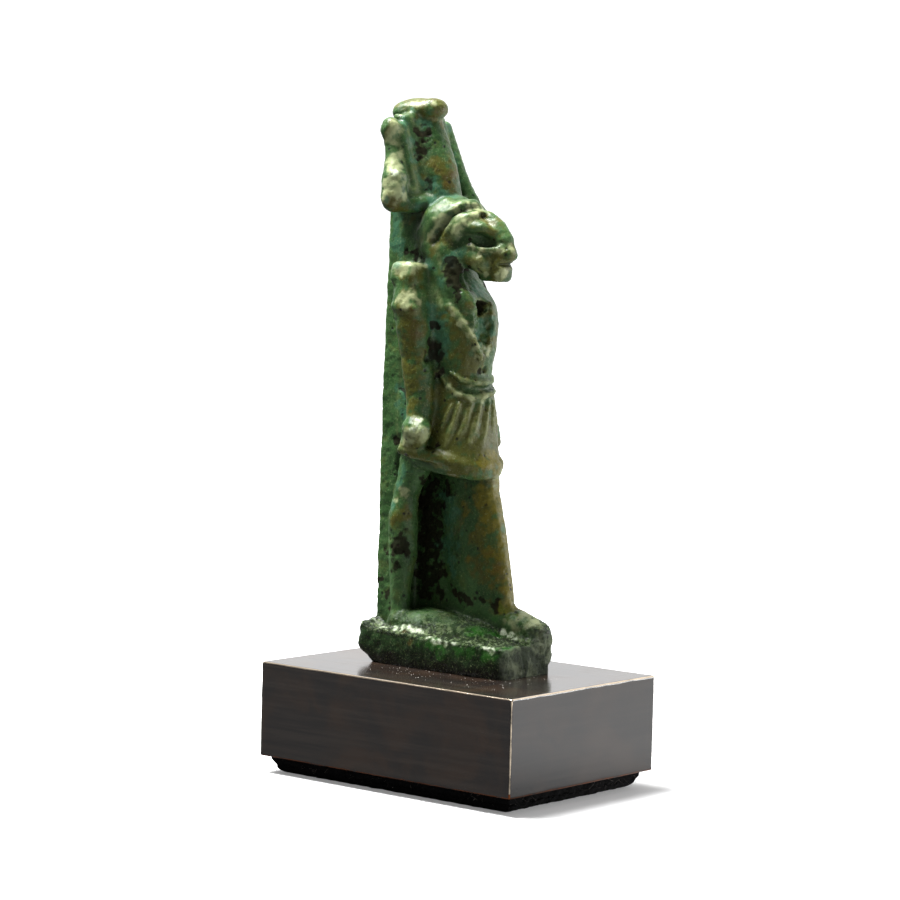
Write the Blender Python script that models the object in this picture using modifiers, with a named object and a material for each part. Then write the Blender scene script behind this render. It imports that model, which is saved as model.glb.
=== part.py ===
"""Lion-headed amulet of glazed faience, standing on a bronze display block with a black pad under it.

The front is -Y, up is +Z, and the origin is the middle of the underside. Sizes are in metres.
The figure is carved in units: 60 of them make its height above its own base, so one is about 1 mm.
In the carving x runs to the figure's left, y to its back, and z up from the top of its base.
"""

import math

import bmesh
import bpy
from mathutils import Euler, Matrix, Vector

# Black pad under the block
PAD_HEIGHT = 0.0016
PAD_INSET = 0.0005
PAD_CHAMFER = 0.0011

# Bronze display block
BLOCK_LENGTH = 0.0360
BLOCK_WIDTH = 0.0256
BLOCK_HEIGHT = 0.0107
BLOCK_EDGE = 0.00025

# Amulet: its base, its back pillar and the figure are fired in one piece
BASE_LENGTH = 0.0210
BASE_WIDTH = 0.0104
BASE_HEIGHT = 0.0033
BASE_UNDERCUT = 0.0013
PILLAR_WIDTH = 0.0057
PILLAR_TAPER = 0.0005
PILLAR_DEPTH = 0.0028
PILLAR_LEAN = 0.0007
PILLAR_HEIGHT = 0.0576
LUG_WIDTH = 0.0026
LUG_DEPTH = 0.0021
LUG_HEIGHT = 0.0046
LUG_LEVEL = 0.0455
LUG_HOLE = 0.0012
FIGURE_HEIGHT = 0.0600

# Where the pieces sit
SEAT_GAP = 0.0003
AMULET_OFFSET = 0.00115
BASE_LEDGE = 0.0009

# Fineness of the carved surface
CARVING_VOXEL = 0.00022
CARVING_TRIANGLES_KEPT = 0.055

UNITS_TALL = 60.0
UNIT = FIGURE_HEIGHT / UNITS_TALL
PILLAR_FRONT = 8.15 * UNIT
PILLAR_BACK = PILLAR_FRONT + PILLAR_DEPTH
BASE_BACK = PILLAR_BACK + BASE_LEDGE
BASE_FRONT = BASE_BACK - BASE_LENGTH
LUG_MIDDLE = PILLAR_BACK - 1.1 * PILLAR_LEAN

BLOCK_BOTTOM = PAD_HEIGHT + SEAT_GAP
BLOCK_TOP = BLOCK_BOTTOM + BLOCK_HEIGHT
BASE_TOP = BLOCK_TOP + SEAT_GAP + BASE_HEIGHT

FAIENCE = ((0.12, 0.30, 0.14), 0.35, 0.0)
BRONZE = ((0.045, 0.040, 0.038), 0.35, 0.8)
FELT = ((0.010, 0.010, 0.011), 0.95, 0.0)


def clear_scene():
    for obj in list(bpy.data.objects):
        bpy.data.objects.remove(obj)


def new_collection(name):
    collection = bpy.data.collections.new(name)
    bpy.context.scene.collection.children.link(collection)
    return collection


def new_material(name, look):
    colour, roughness, metallic = look
    material = bpy.data.materials.new(name)
    material.use_nodes = True
    shader = material.node_tree.nodes["Principled BSDF"]
    shader.inputs["Base Color"].default_value = (*colour, 1.0)
    shader.inputs["Roughness"].default_value = roughness
    shader.inputs["Metallic"].default_value = metallic
    material.diffuse_color = (*colour, 1.0)
    return material


def new_object(name, bm, collection, look=None):
    """An object of the bmesh, which is used up."""
    mesh = bpy.data.meshes.new(name)
    bm.to_mesh(mesh)
    bm.free()
    mesh.shade_smooth()
    obj = bpy.data.objects.new(name, mesh)
    collection.objects.link(obj)
    if look:
        mesh.materials.append(new_material(name, look))
    return obj


# Forms that the figure is built from. Each adds one closed shell to the bmesh.


def ball(bm, centre, radii, turn=(0, 0, 0)):
    """An ellipsoid; turn is in degrees about x, y and z."""
    place = Matrix.Translation(Vector(centre) * UNIT)
    turned = Euler([math.radians(a) for a in turn]).to_matrix().to_4x4()
    size = Matrix.Diagonal((*(Vector(radii) * UNIT), 1.0))
    bmesh.ops.create_icosphere(bm, subdivisions=3, radius=1.0, matrix=place @ turned @ size)


def slab(bm, centre, size, turn=(0, 0, 0)):
    """A block of the full size given."""
    place = Matrix.Translation(Vector(centre) * UNIT)
    turned = Euler([math.radians(a) for a in turn]).to_matrix().to_4x4()
    scale = Matrix.Diagonal((*(Vector(size) * UNIT), 1.0))
    bmesh.ops.create_cube(bm, size=1.0, matrix=place @ turned @ scale)


def limb(bm, *joints):
    """A rounded bar through joints of (x, y, z, radius)."""
    for x, y, z, radius in joints:
        ball(bm, (x, y, z), (radius, radius, radius))
    for start, end in zip(joints, joints[1:]):
        a, b = Vector(start[:3]), Vector(end[:3])
        run = b - a
        upright = run.to_track_quat("Z", "Y").to_matrix().to_4x4()
        bmesh.ops.create_cone(
            bm,
            cap_ends=True,
            segments=20,
            radius1=start[3] * UNIT,
            radius2=end[3] * UNIT,
            depth=run.length * UNIT,
            matrix=Matrix.Translation((a + b) / 2 * UNIT) @ upright,
        )


def loft(bm, sections, slope=0.0, squareness=2.4, sides=32):
    """A shell through flat rounded sections of (z, x, y, half width, half depth).

    slope tips the sections up towards the back, and squareness 2 is an ellipse.
    """
    rings = []
    for z, x, y, half_width, half_depth in sections:
        ring = []
        for i in range(sides):
            angle = 2 * math.pi * i / sides
            across = math.copysign(abs(math.cos(angle)) ** (2 / squareness), math.cos(angle))
            along = math.copysign(abs(math.sin(angle)) ** (2 / squareness), math.sin(angle))
            at_y = y + half_depth * along
            ring.append(bm.verts.new(Vector((x + half_width * across, at_y, z + slope * (at_y - y))) * UNIT))
        rings.append(ring)
    for lower, upper in zip(rings, rings[1:]):
        for i in range(sides):
            j = (i + 1) % sides
            bm.faces.new((lower[i], lower[j], upper[j], upper[i]))
    bm.faces.new(reversed(rings[0]))
    bm.faces.new(rings[-1])


def both_sides(bm, *joints):
    """A limb, and the same on the figure's other side."""
    limb(bm, *joints)
    limb(bm, *[(-x, *rest) for x, *rest in joints])


# The carving, from the base up


def add_base(bm):
    """The base, with its back end drawn in underneath, as it left the mould."""
    half = BASE_WIDTH / 2 / UNIT
    front, back = BASE_FRONT / UNIT, BASE_BACK / UNIT
    height, undercut = BASE_HEIGHT / UNIT, BASE_UNDERCUT / UNIT
    levels = (
        (-height, -0.15, undercut),
        (-0.70 * height, 0.0, 0.3 * undercut),
        (-0.35 * height, 0.0, 0.0),
        (-0.1 * height, 0.0, 0.1 * undercut),
        (0.0, -0.25, 0.5 * undercut),
    )
    sections = [
        (z, 0.0, (front + back - drawn_in) / 2, half + swell, (back - drawn_in - front) / 2)
        for z, swell, drawn_in in levels
    ]
    loft(bm, sections, slope=0.02, squareness=14.0, sides=64)


def add_pillar(bm):
    """The back pillar, which leans a little forward and narrows towards its top."""
    foot = (PILLAR_FRONT + PILLAR_BACK) / 2 / UNIT
    top = foot - PILLAR_LEAN / UNIT
    half_width, half_depth = PILLAR_WIDTH / 2 / UNIT, PILLAR_DEPTH / 2 / UNIT
    narrower = half_width - PILLAR_TAPER / 2 / UNIT
    loft(
        bm,
        (
            (-1.0, 0.0, foot, half_width, half_depth),
            (25.0, 0.0, foot, half_width, half_depth),
            (PILLAR_HEIGHT / UNIT, 0.0, top, narrower, half_depth),
        ),
        squareness=14.0,
    )


def add_lug(bm):
    """The loop on the pillar's back that the cord went through."""
    level, reach = LUG_LEVEL / UNIT, LUG_HEIGHT / 2 / UNIT
    ball(bm, (0, LUG_MIDDLE / UNIT, level), (LUG_WIDTH / 2 / UNIT, LUG_DEPTH / UNIT, reach))


def add_right_leg(bm):
    """The standing leg, at the back against the pillar."""
    limb(
        bm,
        (-2.3, 5.4, 20.0, 2.0),
        (-2.65, 6.9, 15.6, 1.4),
        (-2.7, 7.15, 13.2, 1.65),
        (-2.6, 7.2, 8.7, 1.6),
        (-2.75, 7.3, 5.5, 1.25),
        (-2.65, 7.3, 2.5, 1.1),
    )
    slab(bm, (-1.7, 8.2, 10.0), (1.6, 1.4, 20.0))
    limb(bm, (-2.7, 7.4, 0.9, 1.5), (-2.6, 4.6, 0.7, 1.6), (-2.2, 1.2, 0.0, 1.25))


def add_left_leg(bm):
    """The striding leg and its foot, which reaches the front of the base."""
    loft(
        bm,
        (
            (0.5, 2.4, -0.8, 1.75, 3.8),
            (5.0, 2.2, -0.4, 1.8, 4.0),
            (9.0, 2.1, 0.4, 1.9, 4.05),
            (13.0, 2.1, 0.9, 2.0, 3.8),
            (16.0, 2.1, 1.45, 2.0, 3.5),
            (20.5, 2.2, 1.9, 2.1, 3.6),
        ),
        squareness=2.5,
    )
    limb(bm, (2.6, -3.6, 2.1, 1.8), (2.8, -5.2, 1.5, 1.8), (2.9, -6.8, 0.9, 1.75), (3.0, -7.7, 0.55, 1.65))


def add_web(bm):
    """The fill left between the legs, which rises from a mound at the feet."""
    slab(bm, (1.6, 5.6, 10.0), (1.5, 7.4, 21.0))
    ball(bm, (-0.4, 4.2, 0.0), (2.8, 4.9, 3.1))
    ball(bm, (0.4, 0.0, -0.4), (2.3, 4.8, 2.6))


def add_kilt(bm):
    loft(
        bm,
        (
            (17.7, 0.0, 2.2, 3.9, 4.8),
            (18.5, 0.0, 2.3, 4.35, 5.55),
            (20.2, 0.0, 2.3, 4.4, 5.5),
            (22.0, 0.0, 2.4, 4.25, 5.2),
            (25.5, 0.0, 2.6, 3.9, 4.7),
            (28.4, 0.0, 2.9, 3.6, 4.6),
        ),
        slope=0.16,
        squareness=2.3,
    )
    slab(bm, (0, 5.3, 22.0), (7.8, 3.6, 4.6))
    slab(bm, (0, 6.7, 24.5), (5.6, 3.8, 6.0))


def add_pleats(bm):
    """Folds that fan out from the belt over the kilt's front."""
    limb(bm, (-3.4, -0.4, 26.2, 0.32), (-3.95, 0.75, 23.6, 0.4))
    limb(bm, (-3.0, -0.95, 26.3, 0.34), (-3.55, -0.45, 23.1, 0.46), (-4.0, 0.2, 20.9, 0.44))
    limb(bm, (-1.8, -1.75, 26.1, 0.34), (-2.85, -1.5, 23.5, 0.46), (-3.6, -0.7, 20.9, 0.44))
    limb(bm, (-0.5, -2.0, 26.4, 0.34), (-1.5, -2.2, 23.9, 0.46), (-2.6, -2.15, 21.0, 0.44))
    limb(bm, (1.0, -1.95, 26.6, 0.34), (-0.3, -2.5, 23.2, 0.46), (-0.9, -2.75, 21.3, 0.44))
    limb(bm, (2.1, -1.6, 26.5, 0.34), (1.5, -2.45, 21.6, 0.44))
    limb(bm, (3.0, -0.9, 26.5, 0.34), (3.1, -1.45, 21.6, 0.44))
    limb(bm, (3.5, 0.1, 26.6, 0.34), (3.95, 0.3, 21.6, 0.44))


def add_belt(bm):
    """A band that dips at the front under the belly."""
    limb(
        bm,
        (-3.65, 2.1, 29.8, 0.3),
        (-3.6, 1.2, 28.9, 0.34),
        (-3.3, 0.6, 28.0, 0.38),
        (-2.9, -0.5, 27.15, 0.42),
        (-2.0, -1.35, 26.85, 0.44),
        (-0.2, -1.85, 27.0, 0.44),
        (1.0, -1.75, 27.3, 0.42),
        (2.0, -1.35, 27.5, 0.42),
        (2.9, -0.45, 27.9, 0.4),
        (3.3, 0.6, 28.6, 0.36),
        (3.65, 2.0, 29.8, 0.3),
    )


def add_torso(bm):
    loft(
        bm,
        (
            (26.0, 0.0, 3.0, 3.5, 4.7),
            (29.0, 0.0, 3.1, 3.5, 4.95),
            (32.0, 0.0, 2.9, 3.7, 5.3),
            (35.0, 0.0, 2.8, 4.1, 5.35),
            (37.0, 0.0, 3.1, 4.3, 5.1),
            (39.0, 0.0, 4.0, 4.3, 4.2),
            (41.5, 0.0, 5.0, 4.0, 3.4),
        ),
        squareness=2.3,
    )
    slab(bm, (0, 6.8, 33.0), (5.4, 3.6, 26.0))


def add_arms(bm):
    """Arms held straight down, closed fists at the kilt. The left side is a little forward."""
    limb(
        bm,
        (-5.2, 4.9, 39.0, 1.75),
        (-5.35, 4.6, 37.3, 2.0),
        (-5.15, 4.4, 34.5, 1.95),
        (-5.0, 4.3, 31.2, 1.4),
        (-4.9, 3.9, 29.1, 1.55),
        (-4.85, 3.5, 26.8, 1.4),
        (-5.2, 3.3, 24.4, 1.3),
    )
    slab(bm, (-5.0, 4.9, 40.3), (3.7, 3.6, 2.6), turn=(0, 6, 0))
    slab(bm, (-5.75, 3.05, 22.2), (2.35, 2.9, 3.3), turn=(-8, 4, 6))
    limb(
        bm,
        (4.9, 5.2, 39.0, 1.65),
        (5.0, 4.6, 37.3, 1.85),
        (5.0, 4.1, 34.5, 1.75),
        (5.0, 3.7, 31.5, 1.45),
        (5.1, 3.0, 29.1, 1.45),
        (5.2, 2.5, 26.8, 1.25),
        (5.5, 2.1, 24.4, 1.15),
    )
    slab(bm, (4.5, 5.6, 40.2), (3.5, 3.3, 2.6), turn=(0, -6, 0))
    slab(bm, (5.75, 1.95, 22.1), (2.2, 2.6, 3.0), turn=(-6, -6, -6))


def add_wig(bm):
    """The heavy wig behind the face, with a lappet down each side of the chest."""
    ball(bm, (0, 4.4, 43.2), (3.5, 3.3, 4.8))
    slab(bm, (0, 6.7, 44.0), (5.2, 3.4, 9.0))
    near_top = (-3.2, 3.4, 43.4, 1.15), (-3.0, 2.4, 40.8, 1.3)
    near_tip = (-2.75, 1.0, 38.8, 1.25), (-2.1, -1.0, 37.0, 0.95)
    limb(bm, *near_top, *near_tip)
    limb(bm, (-3.1, 1.7, 43.0, 0.95), (-2.95, 0.7, 40.8, 1.05), (-2.7, 0.1, 39.0, 0.95))
    limb(bm, (3.2, 3.4, 43.4, 1.15), (2.7, 2.7, 40.6, 1.25), (2.4, 1.5, 38.4, 1.1), (1.7, -0.5, 37.0, 0.95))


def add_head(bm):
    ball(bm, (0, 0.4, 44.1), (2.8, 2.65, 3.1))
    loft(
        bm,
        (
            (39.75, 0, -2.95, 0.9, 1.7),
            (40.4, 0, -2.95, 1.15, 1.9),
            (41.6, 0, -2.9, 1.3, 2.05),
            (43.3, 0, -2.8, 1.35, 1.95),
        ),
        squareness=5.0,
    )
    limb(bm, (0, -1.2, 45.5, 1.25), (0, -3.0, 44.9, 1.1), (0, -4.2, 43.9, 1.0), (0, -4.7, 43.2, 0.95))
    ball(bm, (0, -4.95, 42.7), (1.1, 0.95, 0.85))
    both_sides(bm, (-1.6, -0.2, 42.7, 1.5), (-1.2, -2.0, 41.9, 1.3))
    both_sides(bm, (-2.5, -0.5, 45.7, 0.65), (-1.8, -2.2, 45.6, 0.7), (-0.7, -3.3, 45.1, 0.65))
    both_sides(bm, (-2.4, -1.3, 43.7, 0.3), (-1.95, -2.75, 43.15, 0.34), (-1.2, -4.2, 43.3, 0.32))


def add_mane(bm):
    """Two rims round the face: the mane at the back and the ears' line in front."""
    limb(
        bm,
        (-3.5, 4.0, 43.2, 0.65),
        (-3.6, 3.1, 45.2, 0.8),
        (-3.1, 1.9, 46.9, 0.9),
        (-1.8, 0.7, 47.7, 0.9),
        (0, 0.3, 47.8, 0.9),
        (1.8, 0.9, 47.2, 0.9),
        (3.0, 2.2, 46.4, 0.85),
        (3.4, 3.6, 43.4, 0.75),
    )
    limb(
        bm,
        (-3.1, 1.7, 43.8, 0.75),
        (-3.0, 1.0, 45.3, 0.85),
        (-2.4, 0.0, 46.5, 0.9),
        (0, -0.6, 46.9, 0.95),
        (2.2, 0.4, 46.3, 0.85),
        (3.0, 1.6, 43.8, 0.8),
    )
    rim_side = (-2.95, 0.0, 45.6, 0.55), (-2.3, -0.8, 46.5, 0.6)
    rim_front = (-1.2, -1.3, 46.8, 0.6), (0, -1.5, 46.8, 0.6)
    both_sides(bm, *rim_side, *rim_front)


def add_crown(bm):
    """Tall crown with a knob, flanked by plumes, on ram's horns that carry cobras with discs."""
    loft(
        bm,
        (
            (46.5, 0.0, 4.5, 2.5, 2.7),
            (49.0, 0.0, 5.2, 2.45, 2.6),
            (52.5, 0.0, 6.1, 2.3, 2.5),
            (55.5, 0.0, 7.1, 2.1, 2.3),
            (57.8, 0.0, 7.9, 1.8, 2.1),
        ),
        squareness=2.0,
    )
    ball(bm, (0, 8.4, 58.75), (2.3, 3.1, 1.4))
    ball(bm, (0, 6.2, 58.8), (1.5, 1.3, 1.3))
    for x, y in ((-3.0, 6.5), (2.9, 6.8)):
        loft(
            bm,
            (
                (48.4, x, y, 0.8, 1.4),
                (52.0, x, y + 0.7, 0.9, 1.3),
                (55.5, x * 1.04, y + 1.4, 0.85, 1.15),
                (58.0, x * 1.06, y + 1.9, 0.7, 0.95),
            ),
            squareness=3.0,
        )
        slab(bm, (x * 1.15, 8.6, 52.5), (2.8, 1.6, 9.0))
    limb(bm, (0, 3.9, 48.1, 1.0), (-2.5, 4.8, 48.1, 1.0), (-4.6, 6.2, 48.0, 1.0), (-5.9, 6.9, 48.4, 1.4))
    near_body = (-5.9, 6.9, 49.0, 1.45), (-5.7, 7.1, 50.9, 1.45)
    near_neck = (-5.3, 7.6, 52.7, 1.1), (-5.1, 8.3, 55.4, 0.9)
    limb(bm, *near_body, *near_neck)
    ball(bm, (-5.2, 8.3, 56.3), (1.15, 1.15, 1.35))
    limb(bm, (0, 3.9, 48.1, 1.0), (2.2, 4.6, 48.1, 1.0), (3.9, 5.2, 48.0, 1.0), (5.3, 5.2, 48.2, 1.05))
    limb(bm, (4.4, 8.5, 56.6, 0.95), (4.6, 7.9, 54.6, 1.05), (4.6, 6.7, 52.2, 1.0), (5.2, 4.9, 48.2, 1.0))
    limb(bm, (5.0, 7.4, 49.0, 1.2), (4.8, 7.6, 51.5, 1.1), (4.6, 8.2, 54.2, 0.9))


def add_hollows(bm):
    """What is cut away: eyes, mouth, the hollow of the chest, the neck and the cord's hole."""
    eye_back = (-2.65, -1.2, 44.3, 0.3), (-2.2, -2.5, 44.55, 0.6)
    eye_front = (-1.65, -3.8, 44.4, 0.5), (-1.2, -4.7, 44.2, 0.3)
    both_sides(bm, *eye_back, *eye_front)
    slab(bm, (0, -5.0, 41.65), (3.4, 1.4, 0.35), turn=(-4, 0, 0))
    ball(bm, (-1.25, -2.65, 35.3), (1.75, 1.7, 2.5))
    ball(bm, (-0.6, -1.7, 36.9), (0.8, 1.5, 0.9))
    both_sides(bm, (-2.6, 0.6, 40.2, 0.45), (-2.3, -0.4, 39.8, 0.65), (-1.4, -1.0, 39.2, 0.65))
    level = LUG_LEVEL / UNIT
    along = (LUG_MIDDLE + 0.55 * LUG_DEPTH) / UNIT
    radius = LUG_HOLE / 2 / UNIT
    limb(bm, (-2.5, along, level, radius), (2.5, along, level, radius))


def voxel_remesh(obj, name):
    remesh = obj.modifiers.new(name, "REMESH")
    remesh.mode = "VOXEL"
    remesh.voxel_size = CARVING_VOXEL
    remesh.use_smooth_shade = True


def amulet(collection, cutters):
    hollows = bmesh.new()
    add_hollows(hollows)
    cutter = new_object("hollows", hollows, cutters)
    voxel_remesh(cutter, "one skin")
    cutter.hide_render = True
    cutter.display_type = "WIRE"
    cutter.location = (AMULET_OFFSET, 0, BASE_TOP)

    bm = bmesh.new()
    add_base(bm)
    add_pillar(bm)
    add_lug(bm)
    add_right_leg(bm)
    add_left_leg(bm)
    add_web(bm)
    add_kilt(bm)
    add_pleats(bm)
    add_belt(bm)
    add_torso(bm)
    add_arms(bm)
    add_wig(bm)
    add_head(bm)
    add_mane(bm)
    add_crown(bm)
    obj = new_object("amulet", bm, collection, FAIENCE)
    voxel_remesh(obj, "one skin")
    cut = obj.modifiers.new("hollows", "BOOLEAN")
    cut.operation = "DIFFERENCE"
    cut.solver = "EXACT"
    cut.object = cutter
    voxel_remesh(obj, "even skin")
    soften = obj.modifiers.new("soft edges", "SMOOTH")
    soften.factor = 0.5
    soften.iterations = 2
    thin = obj.modifiers.new("fewer triangles", "DECIMATE")
    thin.ratio = CARVING_TRIANGLES_KEPT
    obj.location = (AMULET_OFFSET, 0, BASE_TOP)
    return obj


def display_block(collection):
    bm = bmesh.new()
    size = Matrix.Diagonal((BLOCK_WIDTH, BLOCK_LENGTH, BLOCK_HEIGHT, 1.0))
    bmesh.ops.create_cube(bm, size=1.0, matrix=size)
    obj = new_object("display_block", bm, collection, BRONZE)
    obj.data.set_sharp_from_angle(angle=math.radians(30))
    bevel = obj.modifiers.new("worn edges", "BEVEL")
    bevel.width = BLOCK_EDGE
    bevel.segments = 2
    obj.location = (0, 0, BLOCK_BOTTOM + BLOCK_HEIGHT / 2)
    return obj


def pad(collection):
    """A pad a little inside the block's sides, chamfered all round underneath."""
    bm = bmesh.new()
    width = BLOCK_WIDTH - 2 * PAD_INSET
    length = BLOCK_LENGTH - 2 * PAD_INSET
    bmesh.ops.create_cube(bm, size=1.0, matrix=Matrix.Diagonal((width, length, PAD_HEIGHT, 1.0)))
    for vert in bm.verts:
        if vert.co.z < 0:
            vert.co.x -= math.copysign(PAD_CHAMFER, vert.co.x)
            vert.co.y -= math.copysign(PAD_CHAMFER, vert.co.y)
    obj = new_object("pad", bm, collection, FELT)
    obj.data.set_sharp_from_angle(angle=math.radians(30))
    obj.location = (0, 0, PAD_HEIGHT / 2)
    return obj


def main():
    clear_scene()
    parts = new_collection("lion-headed amulet")
    cutters = new_collection("cutters")
    amulet(parts, cutters)
    display_block(parts)
    pad(parts)


main()
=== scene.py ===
"""Lion-headed amulet in green glazed ceramic, on its bronze block and felt pad."""
import math

import bmesh
import bpy
import numpy as np
from mathutils import Euler, Matrix, Vector, noise


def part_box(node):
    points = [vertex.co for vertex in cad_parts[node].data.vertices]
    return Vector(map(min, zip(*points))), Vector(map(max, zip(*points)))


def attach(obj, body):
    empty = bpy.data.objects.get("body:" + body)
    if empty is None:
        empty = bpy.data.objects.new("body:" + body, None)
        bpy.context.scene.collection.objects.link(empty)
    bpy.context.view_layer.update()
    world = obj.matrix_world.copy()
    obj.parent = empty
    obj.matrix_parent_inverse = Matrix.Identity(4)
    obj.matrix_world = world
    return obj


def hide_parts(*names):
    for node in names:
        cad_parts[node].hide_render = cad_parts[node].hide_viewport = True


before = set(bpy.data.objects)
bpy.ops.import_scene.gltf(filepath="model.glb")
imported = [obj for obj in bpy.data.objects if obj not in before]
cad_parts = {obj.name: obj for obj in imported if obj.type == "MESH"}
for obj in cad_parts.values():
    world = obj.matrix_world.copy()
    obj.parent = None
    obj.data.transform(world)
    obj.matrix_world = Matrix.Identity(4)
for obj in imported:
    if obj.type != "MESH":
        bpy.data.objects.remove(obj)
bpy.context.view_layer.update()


# Clay: forms are pressed together on an even grid of distances, then skinned


class Clay:
    def __init__(self, low, high, step):
        self.low = np.array(low, np.float32)
        self.step = step
        self.axes = [np.arange(a, b, step, dtype=np.float32) for a, b in zip(low, high)]
        self.field = np.full([len(a) for a in self.axes], 5.0, np.float32)

    def part_near(self, low, high):
        """The grid's points inside a box, as slices and three coordinate arrays."""
        cuts = []
        for axis, a, b in zip(self.axes, low, high):
            first, last = np.searchsorted(axis, (a, b))
            cuts.append(slice(int(first), int(last)))
        x, y, z = (axis[cut] for axis, cut in zip(self.axes, cuts))
        return tuple(cuts), x[:, None, None], y[None, :, None], z[None, None, :]

    def press(self, form, blend, side):
        """Joins the form on where side is 1, and takes it away where side is -1."""
        low, high, distance = form
        reach = 1.0 + blend
        cut, x, y, z = self.part_near([v - reach for v in low], [v + reach for v in high])
        here = self.field[cut] * side
        new = distance(x, y, z)
        h = np.maximum(blend - np.abs(here - new), 0) / blend
        self.field[cut] = (np.minimum(here, new) - h * h * blend / 4) * side

    def add(self, form, blend=0.35):
        self.press(form, blend, 1)

    def cut(self, form, blend=0.2):
        self.press(form, blend, -1)

    def at(self, points):
        """Distance to the surface at any points, between the grid's."""
        grid = (points - self.low) / self.step
        whole = np.clip(grid.astype(int), 0, np.array(self.field.shape) - 2)
        part = np.clip(grid - whole, 0, 1)
        total = np.zeros(len(points), np.float32)
        for corner in np.ndindex(2, 2, 2):
            weight = np.prod(np.where(corner, part, 1 - part), axis=1)
            i, j, k = (whole + corner).T
            total += weight * self.field[i, j, k]
        return total

    def slope(self, points, reach=0.15):
        """The outward direction at each point."""
        ways = []
        for axis in range(3):
            shift = np.zeros(3, np.float32)
            shift[axis] = reach
            ways.append(self.at(points + shift) - self.at(points - shift))
        way = np.stack(ways, 1)
        return way / np.maximum(np.linalg.norm(way, axis=1, keepdims=True), 1e-6)

    def skin(self):
        """The surface as points and four-cornered faces."""
        inside = self.field < 0
        cells = np.zeros([n - 1 for n in inside.shape], np.int8)
        for i, j, k in np.ndindex(2, 2, 2):
            cells += inside[i : i + cells.shape[0], j : j + cells.shape[1], k : k + cells.shape[2]]
        crossed = (cells > 0) & (cells < 8)
        number = np.full(cells.shape, -1, np.int64)
        number[crossed] = np.arange(crossed.sum())
        corner = np.argwhere(crossed)
        total = np.zeros((len(corner), 3), np.float32)
        count = np.zeros(len(corner), np.float32)
        for axis in range(3):
            others = [a for a in range(3) if a != axis]
            for p, q in np.ndindex(2, 2):
                start = corner.copy()
                start[:, others[0]] += p
                start[:, others[1]] += q
                end = start.copy()
                end[:, axis] += 1
                a, b = self.field[tuple(start.T)], self.field[tuple(end.T)]
                cross = (a < 0) != (b < 0)
                share = np.where(cross, a / np.where(cross, a - b, 1), 0)
                point = start.astype(np.float32)
                point[:, axis] += share
                total[cross] += point[cross]
                count[cross] += 1
        points = total / count[:, None] * self.step + self.low
        faces = []
        for axis in range(3):
            b, c = [(axis + 1) % 3, (axis + 2) % 3]
            start = np.take(inside, range(0, inside.shape[axis] - 1), axis)
            end = np.take(inside, range(1, inside.shape[axis]), axis)
            at = np.argwhere(start != end)
            leaving = start[tuple(at.T)]
            ring = []
            for back_b, back_c in ((1, 1), (0, 1), (0, 0), (1, 0)):
                cell = at.copy()
                cell[:, b] -= back_b
                cell[:, c] -= back_c
                ring.append(number[tuple(cell.T)])
            quad = np.stack(ring, 1)
            quad[~leaving] = quad[~leaving][:, ::-1]
            faces.append(quad)
        return points, np.concatenate(faces)


# Forms: each is its lowest and highest corner, and its distance at any point


def turned(x, y, z, centre, turn):
    x, y, z = x - centre[0], y - centre[1], z - centre[2]
    if not any(turn):
        return x, y, z
    m = Euler([math.radians(a) for a in turn]).to_matrix()
    return tuple(m[0][i] * x + m[1][i] * y + m[2][i] * z for i in range(3))


def ball(centre, radii, turn=(0, 0, 0)):
    reach = max(radii)

    def distance(x, y, z):
        x, y, z = turned(x, y, z, centre, turn)
        near = np.sqrt(sum((v / radius) ** 2 for v, radius in zip((x, y, z), radii))) + 1e-6
        steep = np.sqrt(sum((v / radius ** 2) ** 2 for v, radius in zip((x, y, z), radii))) + 1e-6
        return near * (near - 1) / steep

    return [c - reach for c in centre], [c + reach for c in centre], distance


def slab(centre, size, rounding=0.3, turn=(0, 0, 0)):
    half = [s / 2 - rounding for s in size]
    reach = math.hypot(*size) / 2

    def distance(x, y, z):
        x, y, z = turned(x, y, z, centre, turn)
        x, y, z = np.abs(x) - half[0], np.abs(y) - half[1], np.abs(z) - half[2]
        outside = np.sqrt(np.maximum(x, 0) ** 2 + np.maximum(y, 0) ** 2 + np.maximum(z, 0) ** 2)
        return outside + np.minimum(np.maximum(np.maximum(x, y), z), 0) - rounding

    return [c - reach for c in centre], [c + reach for c in centre], distance


def limb(*joints):
    joints = np.array(joints, float)
    low = (joints[:, :3] - joints[:, 3:]).min(0)
    high = (joints[:, :3] + joints[:, 3:]).max(0)

    def distance(x, y, z):
        best = 9.0
        for a, b in zip(joints, joints[1:]):
            run = b[:3] - a[:3]
            share = ((x - a[0]) * run[0] + (y - a[1]) * run[1] + (z - a[2]) * run[2]) / (run @ run)
            share = np.clip(share, 0, 1)
            away = (x - a[0] - share * run[0]) ** 2 + (y - a[1] - share * run[1]) ** 2
            away = np.sqrt(away + (z - a[2] - share * run[2]) ** 2) - a[3] - share * (b[3] - a[3])
            best = np.minimum(best, away)
        return best

    return low, high, distance


def mirrored(joints):
    return [(-x, *rest) for x, *rest in joints]


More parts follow.
